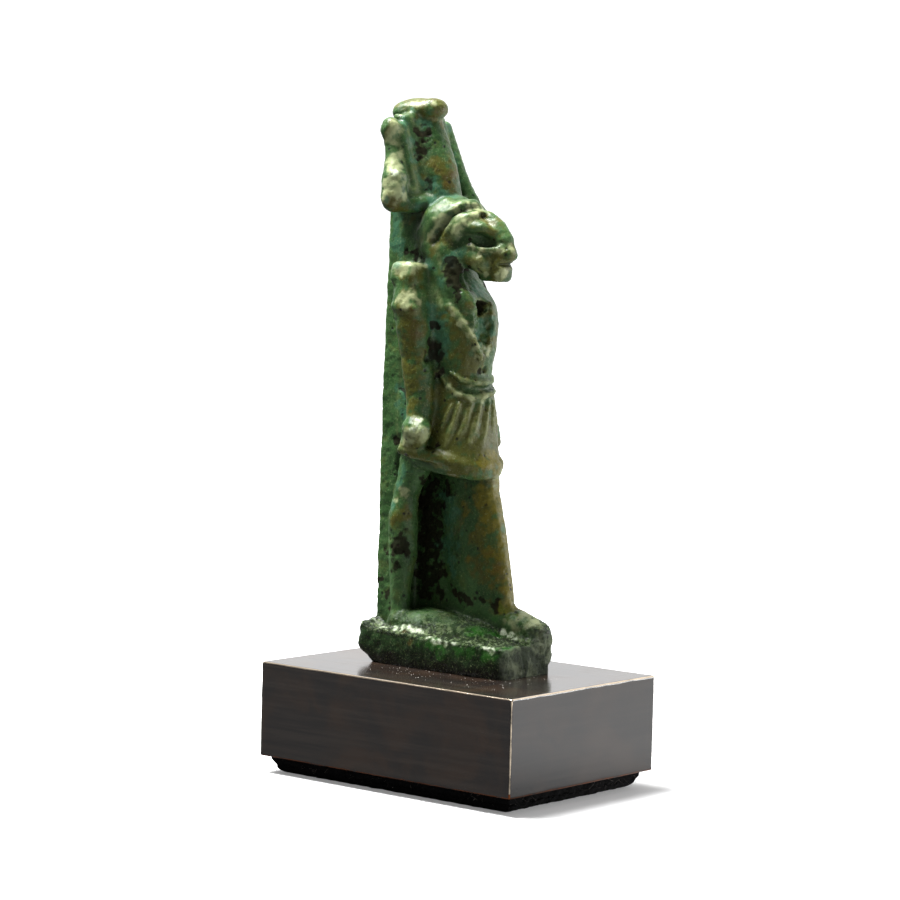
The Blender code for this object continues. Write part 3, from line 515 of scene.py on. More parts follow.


# The figure's surface: relief from firing and wear, where each colour of the glaze lies, and where
# shade and highlights are painted into it


# The glaze's soft round stains, with grime, painted shade and painted glints among them: for each
# radius their places (x, y, z), in the carving's mm
SPOTS = {
    # Dark grime, partly painted shade: the eye slits' spots paint the shade under the brow, and the
    # spots in the recesses between the legs and between arm and body are grime and painted shade at
    # once
    "dirt_and_shade": {
        1.4: ((-3.7, 0.1, 40.6), (0.9, 6.5, 10.7), (0.9, 6.5, 8.4)),
        1.3: ((0.9, 6.8, 12.9), (0.9, 6.9, 6.1), (0.9, 5.8, 16.3)),
        1.2: ((0.8, 7.2, 14.6),),
        1.1: ((-3.1, -0.6, 39.4), (-4.1, 6.5, 10.2), (0.9, 6.8, 4.1)),
        1: ((0.85, 5.2, 14.2), (0.85, 5.2, 12), (0.85, 5.1, 10), (0.85, 5.2, 8), (0.85, 5.2, 6),
            (-1.9, 6.5, 56.1), (-3.6, 2.5, 31.1), (-3.9, 6.2, 8.7)),
        0.89: ((0.1, -1, 36.8), (-3.8, 2.4, 32.5), (0.9, 4.5, 4.6), (0.2, 3.2, 16.3),
            (0.8, 4.8, 14.2)),
        0.78: ((-2.1, 6.4, 54.5), (-3, 6.2, 42.4), (-0.6, 1, 41.1), (-4.2, 6.9, 9.3), (-1.9, 4.8, 17),
            (0.5, 0.5, 4.2), (0.6, -2, 4.4)),
        0.67: ((-2.1, 5.3, 50.2), (-3.7, 2, 29.6), (0.9, -3.5, 3.6), (0.7, 2.2, 4.6)),
        0.56: ((-4.1, 2.2, 34.8), (-2.8, 10.3, 5.6), (-2.9, 9.2, 4), (-2.9, 8.8, 2.4),
            (0.5, -0.2, 3.7)),
        0.44: ((-2.8, 6.2, 53.2), (-2.8, 7.3, 42.7), (-5.4, 3, 31.8), (-4.2, 1.3, 21.7),
            (-2.8, 8.2, 21.5), (-2.8, 7.5, 27.2)),
        0.39: ((-0.8, -1.9, 29.7),),
        0.35: ((-1.7, -2.2, 44.3),),
        0.33: ((-2.9, 9.5, 9), (-4, 7.7, 6.9)),
        0.25: ((-2.2, -1.1, 44.2),),
        0.22: ((-1.1, -3.4, 44.3),),
    },
    "rust": {
        1.3: ((-0.9, 3.6, 51.7),),
        1.2: ((-1.4, 5.8, 59),),
        1: ((-0.5, 3.1, 50.6),),
        0.89: ((-7.1, 6.3, 48.1), (-0.8, 5.2, 58.3), (0.9, -2.9, 9.5), (0.2, 1.5, 12.3)),
        0.78: ((-6.1, 7.7, 56.1), (-6.8, 2.9, 36.1), (-6.5, 3.2, 34), (1.1, -3.5, 7.6),
            (0.9, -3.3, 5.9)),
        0.67: ((-6.5, 3, 35.1), (1.2, -2.3, 23.3), (-4.3, 1.3, 20.4), (-2.8, -0.3, 0.5)),
        0.56: ((-3, 4.8, 47.2), (-1, -1.9, 46.8), (-2, -0.4, 0.8), (-5, 4.5, 0), (-5.1, 3.4, -0.4),
            (-1.4, -3.2, 42.7), (-1.2, -4.4, 42.4)),
    },
    "olive": {
        2.4: ((2, -2.2, 15.5), (2, -2.8, 12.5), (2, -3.2, 9.5), (2.6, -1.8, 24), (1.5, -2.8, 21)),
        2.2: ((-0.6, 8.2, 59.6), (2.1, -3.8, 6.5), (0.5, -2.6, 25), (-1.8, -2.2, 22.5)),
        2: ((0.2, 6.2, 59.4), (-1.5, -2.7, 20.6)),
        1.8: ((2.3, -4.8, 3.8), (-0.7, 3.6, 51.9), (-2.7, -1.4, 24.9), (-1.2, -2.4, 25),
            (-3.1, -1.4, 21.6), (1.6, -2.1, 15.3), (1.4, -2.9, 12), (1.3, -3.5, 8.7)),
        1.7: ((-1.1, -4.5, 41.9), (-7, 3.6, 35.3), (-4, 0.2, 22.1)),
        1.6: ((-0.3, 10, 59), (-6.5, 3.6, 33.1), (-6.3, 3.7, 30.9), (-6.3, 3.4, 28.7),
            (-3, -0.7, 32.1), (-2.2, -1.3, 30.5), (-3.8, -0.1, 25.5), (0.6, -2.4, 23.2),
            (-4.1, 2.4, 23.1)),
        1.4: ((-0.9, 5.2, 58.9), (-6.2, 3.1, 26.5)),
        1.3: ((-3.9, -0.6, 19.6), (-2.7, -2, 19.2), (-0.8, -3, 19), (-1, -2.8, 46), (-1.3, -3.3, 41),
            (-7.2, 3.9, 37.5), (-6.4, 2.8, 24.3), (-3.5, -0.3, 34.3), (-3.6, 1.5, 27),
            (0.9, -3, 19.9), (1.3, -3.8, 6), (0.7, -1.4, 15.3), (0.3, -1.3, 10.8)),
        1.2: ((-6.3, 3.2, 20.4), (-5, 1, 20), (1, -3.3, 19), (-7.1, 6.2, 48.1)),
        1.1: ((-6.1, 7.7, 56.1), (-0.9, 3.1, 49.9), (-2.6, 5.2, 46.9), (-6.8, 4.7, 40.5),
            (-6.9, 2.6, 21.5), (6.1, 0.6, 21.7), (0.4, -1.6, 7.5)),
        1: ((-3.8, 1.9, 44.2), (-2.6, -1.5, 41.8), (-6.4, 3.2, 40.3), (-1.2, -2.2, 31),
            (0.5, -2.4, 32.7), (-3.9, -0.7, 19.3)),
        0.89: ((-0.4, -5.6, 43.3), (0.9, -2.4, 34.3), (0.6, -2.2, 36.3), (-3.8, 0.2, 36.5),
            (-3.1, 0.5, 28.7), (-4.3, 2.1, 20.7), (-3.9, 6.1, 13.3), (1.6, -4.3, 4.3)),
        0.78: ((-4.2, 2.9, 43),),
        0.67: ((-2.8, -1.8, 36.8), (-4.3, 6.9, 12.7)),
    },
    "cream": {
        1.2: ((-7.1, 1.9, 23.3), (2.6, -7, 2.2)),
        1.1: ((-6.9, 6.3, 50.9),),
        1: ((2.4, -8.2, 1.6), (-5.9, 7.4, 56.2), (-6.4, 6.6, 52.3), (-7.3, 6.7, 49.5)),
        0.9: ((-6.6, 1.6, 22.8), (1.6, -6.2, 1.6), (-6.6, 3, 23.3)),
        0.89: ((-6.7, 5.4, 41.2), (-6.6, 4.1, 41.4), (-6.9, 3.4, 37.6), (-6.8, 2.7, 23.2)),
        0.78: ((-6.8, 5.9, 49.8), (-3.8, 2, 45.9), (-3.3, 1.4, 46.7), (2, -2.8, 17.8)),
        0.7: ((-5.6, 7.2, 55.2),),
        0.67: ((-5.9, 5.4, 49), (-5.7, 6.8, 53.2), (-7.3, 7.1, 48.7), (-2.5, 0.8, 47.4),
            (-1.5, 0.2, 47.9), (-3.3, -0.2, 45.3), (-5.5, 3.4, 41.5), (-6.8, 4.4, 40.8),
            (-7, 3.4, 22.5), (-1.6, 7.1, 59.5)),
        0.6: ((-6.3, 2.6, 22.4),),
        0.56: ((-4, 2.6, 45), (-0.1, -0.7, 47.6), (-2.9, -1, 46.2), (-7.3, 4.2, 37.7),
            (-0.7, -2.3, 32.7), (-0.1, -2.4, 31.9), (-6.6, 2.1, 23.5), (-0.8, -4.8, 40.8),
            (-2.1, 7.9, 59.2), (-4, 6.2, 16.1)),
        0.45: ((-3.4, -0.45, 36.1), (-2.5, -1.9, 33.8)),
        0.44: ((-2, -1.4, 47.1), (-7.3, 4.8, 37.5), (-3.8, 0.2, 36.9), (-3.3, -1.1, 35.1),
            (-2.7, -1.8, 33.8), (-2, -2.3, 32.6), (-1.2, -2.2, 31.9), (-7, 3.5, 21.4),
            (-1, -4.2, 40.2), (-1.2, -2.5, 40.4), (-2.1, -1.6, 26.8), (-0.3, -2.1, 26.9),
            (-3.1, -0.6, 27.2), (-0.6, -5.2, 43.6), (-1.1, 5.4, 59.2), (-3.7, 7.9, 57.9),
            (-4.1, 7.3, 14.9)),
        0.39: ((-3.6, -0.5, 36.1),),
        0.33: ((-1.5, -2.1, 31.3), (-2.1, -2.9, 43.2), (-1.7, -3.6, 43.1), (-1.2, -4.5, 43.3),
            (-2.4, -1.7, 43.6), (1.5, -1.8, 27.3), (5.6, 1.5, 28), (-1.9, -1.4, 28.2),
            (-3.5, 0.6, 28.1)),
        0.28: ((-2.2, -2.3, 42.6),),
    },
    "teal": {
        1.3: ((0.3, 2.8, 12.7), (0.5, 3.2, 9.9), (0.5, 2.6, 7.7)),
        1.1: ((-4.1, 1.8, 35.1), (-2.7, 9.4, 45.7), (-2.7, 8.6, 43.4), (0.5, 3.8, 14.9)),
        1: ((-0.9, 2.7, 48.8), (0.1, -1.6, 34.9)),
        0.89: ((-2.8, 8.1, 27.2), (-2.9, 7.3, 25.2), (0.4, -0.3, 38.9), (-0.6, -1.3, 34.1),
            (-3.8, 1.5, 33.1)),
        0.78: ((-3.2, 4.3, 48.5), (-2, 7.6, 57.4), (-2.2, 4.7, 50.2), (-3.6, 1.6, 31.5),
            (-4.3, 2.4, 36.4), (-3, -0.1, 42.6), (-3.8, 0.6, 41.8), (-4.3, 2.9, 41.7),
            (-4.1, 1.5, 39.5), (-4.1, 6.6, 17.2)),
        0.67: ((-2.9, 7.2, 23.9), (-1.6, 3.2, 48.9), (-3.1, 5.6, 50.7), (-3.6, 6.3, 52.9),
            (-3.4, 6.6, 54.6), (-3.9, 7.5, 56.8), (-1.5, 6.4, 57.2), (-1.9, 3.6, 49.1),
            (1.6, -0.4, 38.5), (0.2, -2.4, 33.8), (-0.9, -2.1, 32.9), (-4.2, 5.8, 18.4),
            (-4, 7.7, 14.3)),
        0.56: ((-4.2, 4.8, 47.8), (-6.7, 5.7, 41.3)),
        0.33: ((-7.3, 6.9, 48.4),),
    },
    # Painted highlights: glints on the fist, the shoulders and along the base's edges
    "painted_glints": {
        0.8: ((-7, 2, 23.9),),
        0.6: ((-6.6, 2.2, 24.3),),
        0.56: ((-3.2, 10.4, 0.3),),
        0.44: ((-4.1, 3.7, 0.5), (-4.1, 3, 0.3), (-4.1, 8.2, 0.4), (-4.2, 6.6, 0.5), (-4.2, 5.2, 0.5),
            (-4.7, 1.4, 0.1), (-5, 0, -0.2), (-5.1, -1.5, -0.2), (-6.8, 2.5, 23.3), (1.3, -5.6, 0.4),
            (1.2, -4.6, 0.8), (1.1, -6.7, 0.1)),
        0.39: ((-4.9, -7.5, -0.2), (-4.2, 4.4, 0.6)),
        0.33: ((-4.8, -6.8, -0.1), (-5, -2.7, -0.2), (-6.2, 4.4, 41.7), (-3.3, 5.3, 41.7),
            (-6.9, 3.1, 22.8), (-6.8, 6.4, 51.5), (-6.7, 6.1, 51.2), (-0.1, -4.8, 0), (-3.6, -3.7, 0),
            (-4.5, -5.5, -0.1)),
    },
    "amber": {
        2: ((2, -2.2, 16.5), (2, -2.6, 14), (2, -3, 11.5), (2.1, -3.4, 9)),
        1.8: ((2.2, -3.8, 6.5),),
        1.4: ((2.3, -4.6, 4),),
        1.3: ((0.5, -2.9, 19.6), (2, -2.9, 19.6)),
        1: ((-1.2, -2.8, 19.5),),
    },
    "vivid": {
        1: ((-1, -2.8, 0.7),),
        0.89: ((-0.5, -4, 0.3), (-4.4, -8.6, -0.3), (-5.1, -7.1, -0.9)),
        0.78: ((-1.9, -2.3, 0.1), (0.3, -4.4, 0.3), (-5.2, -5, -0.8), (-5.2, -3.6, -0.8),
            (-5.2, -0.7, -1.1), (0.8, -3.6, 2)),
        0.67: ((-2.9, -8.9, -0.3), (-5.2, 0.7, -0.7), (-5.1, 2.2, -0.5), (1.5, -5.2, 2.7)),
        0.56: ((1.4, -4.2, 3.7),),
    },
}
# Where the carving's zero lies in the world, and its grid's step, in mm
FIGURE_PLACE = (1.15, 0.0, 16.2)
FIGURE_STEP = 0.2165
# How far a spot's soft edge reaches, in its own radii
SPOT_REACH = 1.75


def smooth(low, high, value):
    share = np.clip((value - low) / (high - low), 0, 1)
    return share * share * (3 - 2 * share)


def grain(points, size, octaves=3, offset=0.0):
    """Even noise around 0 at each point, with features of that size."""
    scaled = (points / size + offset).tolist()
    kind = "PERLIN_ORIGINAL"
    return np.array([noise.fractal(p, 0.9, 2.0, octaves, noise_basis=kind) for p in scaled])


def hold(mesh, name, values):
    """Stores one value for each of the mesh's points, which the shaders read by name."""
    mesh.attributes.new(name, "FLOAT", "POINT").data.foreach_set("value", values.astype(np.float32))


def spread(points, frays, zones):
    """How strongly the nearest of the soft round zones reaches each point, with frayed outlines."""
    best = np.zeros(len(points))
    for radius, places in zones.items():
        for place in places:
            away = np.linalg.norm(points + frays * radius - place, axis=1)
            best = np.maximum(best, 1 - smooth(0.0, 1.0, away / (SPOT_REACH * radius)))
    return best


def painted(points, frays, zones):
    """The zones and, on the side that turns away, the same ones mirrored."""
    mirror = points * (-1, 1, 1)
    turned_away = smooth(1.2, 2.6, points[:, 0])
    return np.maximum(spread(points, frays, zones), spread(mirror, frays, zones) * turned_away)


def largest_shell(points, faces):
    """The biggest connected surface alone, without the closed bubbles that forms trap between them."""
    label = np.arange(len(points))
    while True:
        lower = label.copy()
        np.minimum.at(lower, faces.ravel(), np.repeat(label[faces].min(1), 4))
        lower = lower[lower]
        if (lower == label).all():
            break
        label = lower
    kept = label == np.bincount(label).argmax()
    number = np.cumsum(kept) - 1
    return points[kept], number[faces[kept[faces[:, 0]]]]


def figure():
    clay = press_figure(FIGURE_STEP)
    points, faces = largest_shell(*clay.skin())
    out = clay.slope(points, 0.3)
    bend = sum(clay.at(points + out * reach) / reach for reach in (0.5, 0.9, 1.6)) / 3
    inner = sum(-clay.at(points - out * reach) / reach for reach in (0.35, 0.6)) / 2
    # Painted shade: hollows, where other surface lies close outside a point, get a darker glaze colour
    # from this mask
    hollow = smooth(0.03, 0.5, 1 - bend)
    proud = smooth(0.06, 0.35, 1 - inner) * (1 - hollow)
    y, z = points.T[1:]
    ground = smooth(3.6, 0.6, z + grain(points, 1.6, 2, 5.0) * 0.8) * smooth(-0.35, 0.35, out[:, 2])
    ground = np.maximum(ground, smooth(0.7, -0.2, z + grain(points, 1.2, 2, 4.0) * 0.5))
    raw = smooth(-8.6, -9.3, y) * smooth(1.2, 0.2, z)
    frays = np.stack([grain(points, 1.3, 3, shift) for shift in (41.0, 52.0, 63.0)], 1) * 1.2
    masks = {name: painted(points, frays, zones) for name, zones in SPOTS.items()}
    # Uneven skin, then the granular top and foot of the base
    relief = grain(points, 2.4, 3) * 0.09 + grain(points, 0.6, 3, 7.0) * 0.035
    top = ground * smooth(0.1, 0.7, out[:, 2])
    relief += grain(points, 0.6, 4, 3.0) * 0.16 * top + grain(points, 1.2, 3, 3.0) * 0.12 * ground
    # The base's broken front, loosened earth, pits, and the chipped chest
    relief += grain(points * (1, 1, 0.35), 0.55, 3, 9.0) * 0.2 * raw
    relief -= masks["dirt_and_shade"] * np.maximum(grain(points, 0.6, 3, 21.0), 0) * 0.3
    relief -= smooth(0.25, 0.5, grain(points, 0.5, 2, 31.0)) * 0.07 * (1 - ground)
    chest = smooth(2.4, 1.2, np.linalg.norm((points - (-0.8, -2.2, 34.8)) / (1, 1, 1.9), axis=1))
    relief += grain(points, 0.55, 3, 12.0) * 0.3 * chest
    relief *= smooth(60.2, 59.2, z)
    points = points + out * relief[:, None]
    place = np.array(FIGURE_PLACE)
    mesh = bpy.data.meshes.new("amulet")
    mesh.from_pydata(((points + place) / 1000).tolist(), [], faces.tolist())
    masks.update(hollow=hollow, proud=proud, ground=ground, top=top, raw=raw)
    for name, values in masks.items():
        hold(mesh, name, values)
    mesh.shade_smooth()
    return mesh


# The block and the pad, in metres

BLOCK_RIM = 0.0002
BLOCK_CELLS = 60
BLOCK_WANDER = 0.4
PAD_RIM = 0.0004
PAD_CELLS = 70
# How far the pad's sides lie inside the block's at the top, and how much farther at the table
PAD_INSET = 0.0002
PAD_DRAWN = 0.0011


def rounded_box(name, low, high, rim, cells, wander=0.0):
    """A box of even faces, rounded by rim along its edges. The rounding wanders as a filed one does."""
    low, high = np.array(low), np.array(high)
    middle, half = (low + high) / 2, (high - low) / 2
    lines = []
    for length in half:
        near = np.array([0, 0.3, 0.6, 1.0, 1.5]) * rim
        inner = np.linspace(-length + 2.5 * rim, length - 2.5 * rim, cells)
        lines.append(np.concatenate([near - length, inner, (length - near)[::-1]]))
    points, faces = [], []
    for axis in range(3):
        b, c = (axis + 1) % 3, (axis + 2) % 3
        for side in (-1, 1):
            first = len(points)
            for u in lines[b]:
                for v in lines[c]:
                    point = np.zeros(3)
                    point[axis], point[b], point[c] = side * half[axis], u, v
                    points.append(point)
            across = len(lines[c])
            for i in range(len(lines[b]) - 1):
                for j in range(across - 1):
                    corner = first + i * across + j
                    ring = [corner, corner + across, corner + across + 1, corner + 1]
                    faces.append(ring if side > 0 else ring[::-1])
    points = np.array(points)
    rims = np.full(len(points), rim)
    if wander:
        rims = rim * (1 + wander * grain(points * 1000, 2.2, 3, 11.0))
    core = np.clip(points, -(half - rims[:, None]), half - rims[:, None])
    away = points - core
    sizes = np.sort(np.abs(away), axis=1)
    length = np.maximum((np.abs(away) ** 1.6).sum(1) ** (1 / 1.6), 1e-9)
    points = core + away / length[:, None] * rims[:, None]
    mesh = bpy.data.meshes.new(name)
    mesh.from_pydata((points + middle).tolist(), [], faces)
    edge = smooth(0.0, 0.5, sizes[:, 1] / rims)
    height = points[:, 2] / half[2]
    upper = np.where(height > 0.9, 1.0, 0.7) * (height > -0.9)
    for kind, share in (("upper", upper), ("lower", height <= -0.9)):
        hold(mesh, kind, edge * share)
    tidy = bmesh.new()
    tidy.from_mesh(mesh)
    bmesh.ops.remove_doubles(tidy, verts=tidy.verts, dist=1e-7)
    tidy.to_mesh(mesh)
    tidy.free()
    mesh.shade_smooth()
    return mesh


# Shader maths


class Signal:
    """A socket's value. Sums on it add Math nodes."""

    def __init__(self, finish, socket):
        self.finish = finish
        self.socket = socket

    def math(self, operation, *values):
        return self.finish.node("ShaderNodeMath", {"operation": operation}, dict(enumerate(values)))

    def __add__(self, other):
        return self.math("ADD", self, other)

    def __mul__(self, other):
        return self.math("MULTIPLY", self, other)

    def __sub__(self, other):
        return self.math("SUBTRACT", self, other)

    def __rsub__(self, other):
        return self.math("SUBTRACT", other, self)

    def __pow__(self, other):
        return self.math("POWER", self, other)

    __radd__ = __add__
    __rmul__ = __mul__

    def most(self, other):
        return self.math("MAXIMUM", self, other)

    def rise(self, low, high):
        """0 below low, 1 above high, smooth between. Falls if high is lower."""
        return self.finish.node("ShaderNodeMapRange", {"interpolation_type": "SMOOTHSTEP"},
                                {"Value": self, "From Min": low, "From Max": high})


class Finish:
    """A material under construction."""

    def __init__(self, name, tree=None):
        if tree is None:
            self.material = bpy.data.materials.new(name)
            self.material.use_nodes = True
            tree = self.material.node_tree
        self.tree = tree
        self.tree.nodes.clear()
        self.place = self.node("ShaderNodeTexCoord", out="Object")

    def node(self, kind, settings=(), inputs=(), out=0):
        node = self.tree.nodes.new(kind)
        for name, value in dict(settings).items():
            setattr(node, name, value)
        for name, value in dict(inputs).items():
            if isinstance(value, Signal):
                self.tree.links.new(node.inputs[name], value.socket)
            else:
                node.inputs[name].default_value = value
        return Signal(self, node.outputs[out])

    def noise(self, size, detail=3.0, roughness=0.55, distortion=0.0, place=None):
        """Noise from 0 to 1 with features of that size in metres."""
        return self.node("ShaderNodeTexNoise", {}, {
            "Vector": place or self.place, "Scale": 1 / size, "Detail": detail, "Roughness": roughness,
            "Distortion": distortion,
        }, "Fac")

    def stretched(self, scale):
        return self.node("ShaderNodeMapping", {}, {"Vector": self.place, "Scale": scale})

    def specks(self, size, place=None):
        """Distance to the nearest of many scattered points, from 0 to 1."""
        return self.node("ShaderNodeTexVoronoi", {}, {"Vector": place or self.place, "Scale": 1 / size},
                         "Distance")

    def held(self, name):
        return self.node("ShaderNodeAttribute", {"attribute_name": name}, {}, "Fac")

    def mix(self, share, one, other, blend="MIX"):
        return self.node("ShaderNodeMix", {"data_type": "RGBA", "blend_type": blend},
                         {0: share, 6: one, 7: other}, 2)

    def bump(self, height, depth, below=None):
        inputs = {"Height": height, "Strength": 1.0, "Distance": depth}
        if below:
            inputs["Normal"] = below
        return self.node("ShaderNodeBump", {}, inputs, "Normal")

    def principled(self, **inputs):
        return self.node("ShaderNodeBsdfPrincipled", {},
                         {name.replace("_", " "): v for name, v in inputs.items()})

    def close(self, **inputs):
        self.node_out(self.principled(**inputs))
        return self.material

    def node_out(self, shader):
        out = self.tree.nodes.new("ShaderNodeOutputMaterial")
        self.tree.links.new(out.inputs["Surface"], shader.socket)


def tint(red, green, blue):
    """An sRGB colour of 0 to 255 as the shader wants it."""
    parts = [v / 255 for v in (red, green, blue)]
    return (*(v / 12.92 if v <= 0.04045 else ((v + 0.055) / 1.055) ** 2.4 for v in parts), 1.0)


def faience():
    """A green glaze that pooled, stained and wore, pale where rubbed and brown where earth held on,
    with painted shade in its hollows, eye slits and recesses, and painted glints, flecks and halos for
    highlights.
    """
    it = Finish("green_glaze")
    cloud = it.noise(0.005, 4.0, 0.6)
    patch = it.noise(0.0020, 5.0, 0.62, 0.5)
    fine = it.noise(0.0006, 6.0, 0.7)
    sharp = it.noise(0.00022, 3.0, 0.75)
    pit = it.specks(0.0011).rise(0.22, 0.08) * it.noise(0.003).rise(0.5, 0.56)
    pit = pit.most(it.specks(0.0026).rise(0.12, 0.05))
    hollow, ground, top, raw = (it.held(name) for name in ("hollow", "ground", "top", "raw"))
    proud = it.held("proud") * fine.rise(0.3, 0.6)
    ragged = (patch - 0.5) * 0.9 + (fine - 0.5) * 0.7

    # Soft spot masks for the stains, and also for the painted shade and the painted glints
    def stains_and_painted_light(name, low=0.0, high=1.0):
        here = it.held(name)
        return (here + ragged * here.rise(0.0, 0.3)).rise(low, high)

    colour = it.mix(cloud.rise(0.35, 0.65), tint(50, 84, 42), tint(72, 108, 60))
    colour = it.mix(patch.rise(0.5, 0.68) * 0.5, colour, tint(92, 100, 44))
    colour = it.mix(fine.rise(0.52, 0.7) * 0.4, colour, tint(38, 58, 28))
    colour = it.mix(stains_and_painted_light("olive", 0.0, 0.75) * 0.85, colour, tint(90, 88, 28))
    colour = it.mix(stains_and_painted_light("amber", 0.0, 0.9) * 0.8, colour, tint(126, 116, 32))
    colour = it.mix(proud * 0.42, colour, tint(160, 168, 112))
    colour = it.mix(stains_and_painted_light("cream", 0.0, 0.7) * 0.72, colour, tint(184, 192, 142))
    # Painted shade: the glaze colour is darkened in the hollows
    colour = it.mix(hollow * 0.45, colour, tint(24, 38, 20))
    colour = it.mix(stains_and_painted_light("teal", 0.0, 0.8) * 0.7, colour, tint(66, 116, 90))
    pooled = it.mix(fine.rise(0.42, 0.6), tint(8, 18, 6), tint(26, 50, 18))
    colour = it.mix(ground * 0.85, colour, pooled)
    # Painted highlight: pale flecks on the base's upward faces stand in for the glitter of its glossy
    # glaze
    colour = it.mix(top * fine.rise(0.48, 0.6) * 0.6, colour, tint(130, 150, 100))
    # Painted highlight: a pale halo around each glint
    colour = it.mix(it.held("painted_glints").rise(0.0, 0.5) * 0.5, colour, tint(150, 172, 124))
    colour = it.mix(stains_and_painted_light("vivid", 0.1, 0.8) * (0.35 + top * 0.4), colour, tint(34, 104, 16))
    # Darker towards the base's foot, below 14 to 17 mm up
    height = it.node("ShaderNodeSeparateXYZ", {}, {0: it.place}, "Z")
    colour = it.mix((height + patch * 0.003).rise(0.0172, 0.0140) * 0.9, colour, tint(14, 12, 8))
    broken = it.mix(patch.rise(0.4, 0.6), tint(66, 78, 56), tint(142, 152, 122))
    colour = it.mix(raw * 0.8, colour, broken)
    colour = it.mix(stains_and_painted_light("rust") * patch.rise(0.4, 0.62) * 0.5, colour, tint(86, 62, 28))
    colour = it.mix(sharp.rise(0.56, 0.7) * 0.3, colour, tint(170, 182, 134))
    colour = it.mix(sharp.rise(0.44, 0.3) * 0.45, colour, tint(22, 30, 16))
    colour = it.mix(pit * 0.85, colour, tint(16, 18, 12))
    # Painted highlight: the white glints themselves
    glint = stains_and_painted_light("painted_glints", 0.15, 0.7) * fine.rise(0.4, 0.58) * 0.85
    colour = it.mix(glint, colour, tint(226, 236, 210))
    rough = 0.3 + fine.rise(0.35, 0.7) * 0.18 - ground * 0.14 + raw * 0.35
    glitter = it.noise(0.0004, 4.0, 0.75) * (top + raw * 0.7 + ground * 0.15)
    bump = it.bump(fine - pit * 0.6, 0.00007, it.bump(glitter, 0.0005))
    glaze = it.principled(Base_Color=colour, Roughness=rough, Normal=bump, Specular_IOR_Level=0.31)
    # Dark brown grime where these spots lie, which in the eye slits and the recesses between limbs is
    # painted shade as well
    soil_and_shade = it.mix(fine, tint(14, 10, 9), tint(42, 30, 24))
    earth_and_shade = it.principled(Base_Color=soil_and_shade, Roughness=0.9, Normal=bump, Specular_IOR_Level=0.1)
    covered = (stains_and_painted_light("dirt_and_shade", 0.0, 0.85) * (0.55 + fine * 0.8)).rise(0.05, 0.75) * 0.88
    it.node_out(it.node("ShaderNodeMixShader", {}, {0: covered, 1: glaze, 2: earth_and_shade}))
    return it.material


def bronze():
    """Dark brown patina over bronze, faintly brushed, rubbed back to the metal along its edges."""
    it = Finish("dark_bronze")
    upper, lower = it.held("upper"), it.held("lower")
    normal = it.node("ShaderNodeNewGeometry", out="Normal")
    ends = it.node("ShaderNodeSeparateXYZ", {}, {0: normal}, "Y") ** 2
    brushed = it.noise(0.0005, 4.0, 0.65, 0.0, it.stretched((1, 0.03, 1)))
    brushed = brushed * (1 - ends) + it.noise(0.0005, 4.0, 0.65, 0.0, it.stretched((0.03, 1, 1))) * ends
    cloud = it.noise(0.007, 5.0, 0.6, 0.6)
    wear = it.noise(0.0016, 4.0, 0.65)
    tilted = it.node("ShaderNodeMapping", {}, {
        "Vector": it.place, "Rotation": (0.5, 0.9, 0.4), "Scale": (1, 0.02, 1),
    })
    scratch = it.noise(0.0011, 1.0, 0.4, 0.3, tilted).rise(0.7, 0.74)
    colour = it.mix(cloud.rise(0.4, 0.68), tint(30, 27, 26), tint(50, 37, 28))
    colour = it.mix(brushed.rise(0.4, 0.7) * 0.4, colour, tint(64, 56, 50))
    colour = it.mix(scratch * 0.5, colour, tint(16, 14, 14))
    colour = it.mix(lower * wear.rise(0.3, 0.6), colour, tint(160, 92, 52))
    bare = (upper * 1.2 - 0.5 + wear).rise(0.55, 0.85) * upper.rise(0.2, 0.6)
    colour = it.mix(bare, colour, tint(232, 214, 190))
    rough = 0.12 + brushed * 0.1 + cloud.rise(0.5, 0.8) * 0.06
    metal = bare.most(lower * wear.rise(0.3, 0.6))
    bump = it.bump(brushed - scratch * 0.6, 0.000006)
    return it.close(Base_Color=colour, Roughness=rough, Metallic=metal, Normal=bump, IOR=1.72)


def felt():
    it = Finish("black_felt")
    fuzz = it.noise(0.0003, 6.0, 0.7)
    lint = it.noise(0.0009, 5.0, 0.7).rise(0.6, 0.72)
    colour = it.mix(fuzz.rise(0.4, 0.75), tint(7, 7, 8), tint(30, 28, 28))
    colour = it.mix(lint * 0.4, colour, tint(70, 66, 62))
    bump = it.bump(fuzz, 0.0003)
    return it.close(Base_Color=colour, Roughness=0.95, Normal=bump, Specular_IOR_Level=0.15)


def hair():
    it = Finish("felt_hair")
    colour = it.mix(it.noise(0.003).rise(0.4, 0.6), tint(40, 38, 37), tint(128, 120, 112))
    return it.close(Base_Color=colour, Roughness=0.7)


def dust():
    it = Finish("dust")
    colour = it.mix(it.noise(0.002).rise(0.4, 0.6), tint(150, 146, 138), tint(228, 224, 214))
    return it.close(Base_Color=colour, Roughness=0.9)


# Pieces, each riding on the one body


def piece(name, mesh, material, node):
    thing = bpy.data.objects.new(name, mesh)
    bpy.context.scene.collection.objects.link(thing)
    mesh.materials.clear()
    mesh.materials.append(material)
    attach(thing, "root")
    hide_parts(node)
    return thing


def box_of(node):
    low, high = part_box(node)
    return np.array(low, float), np.array(high, float)


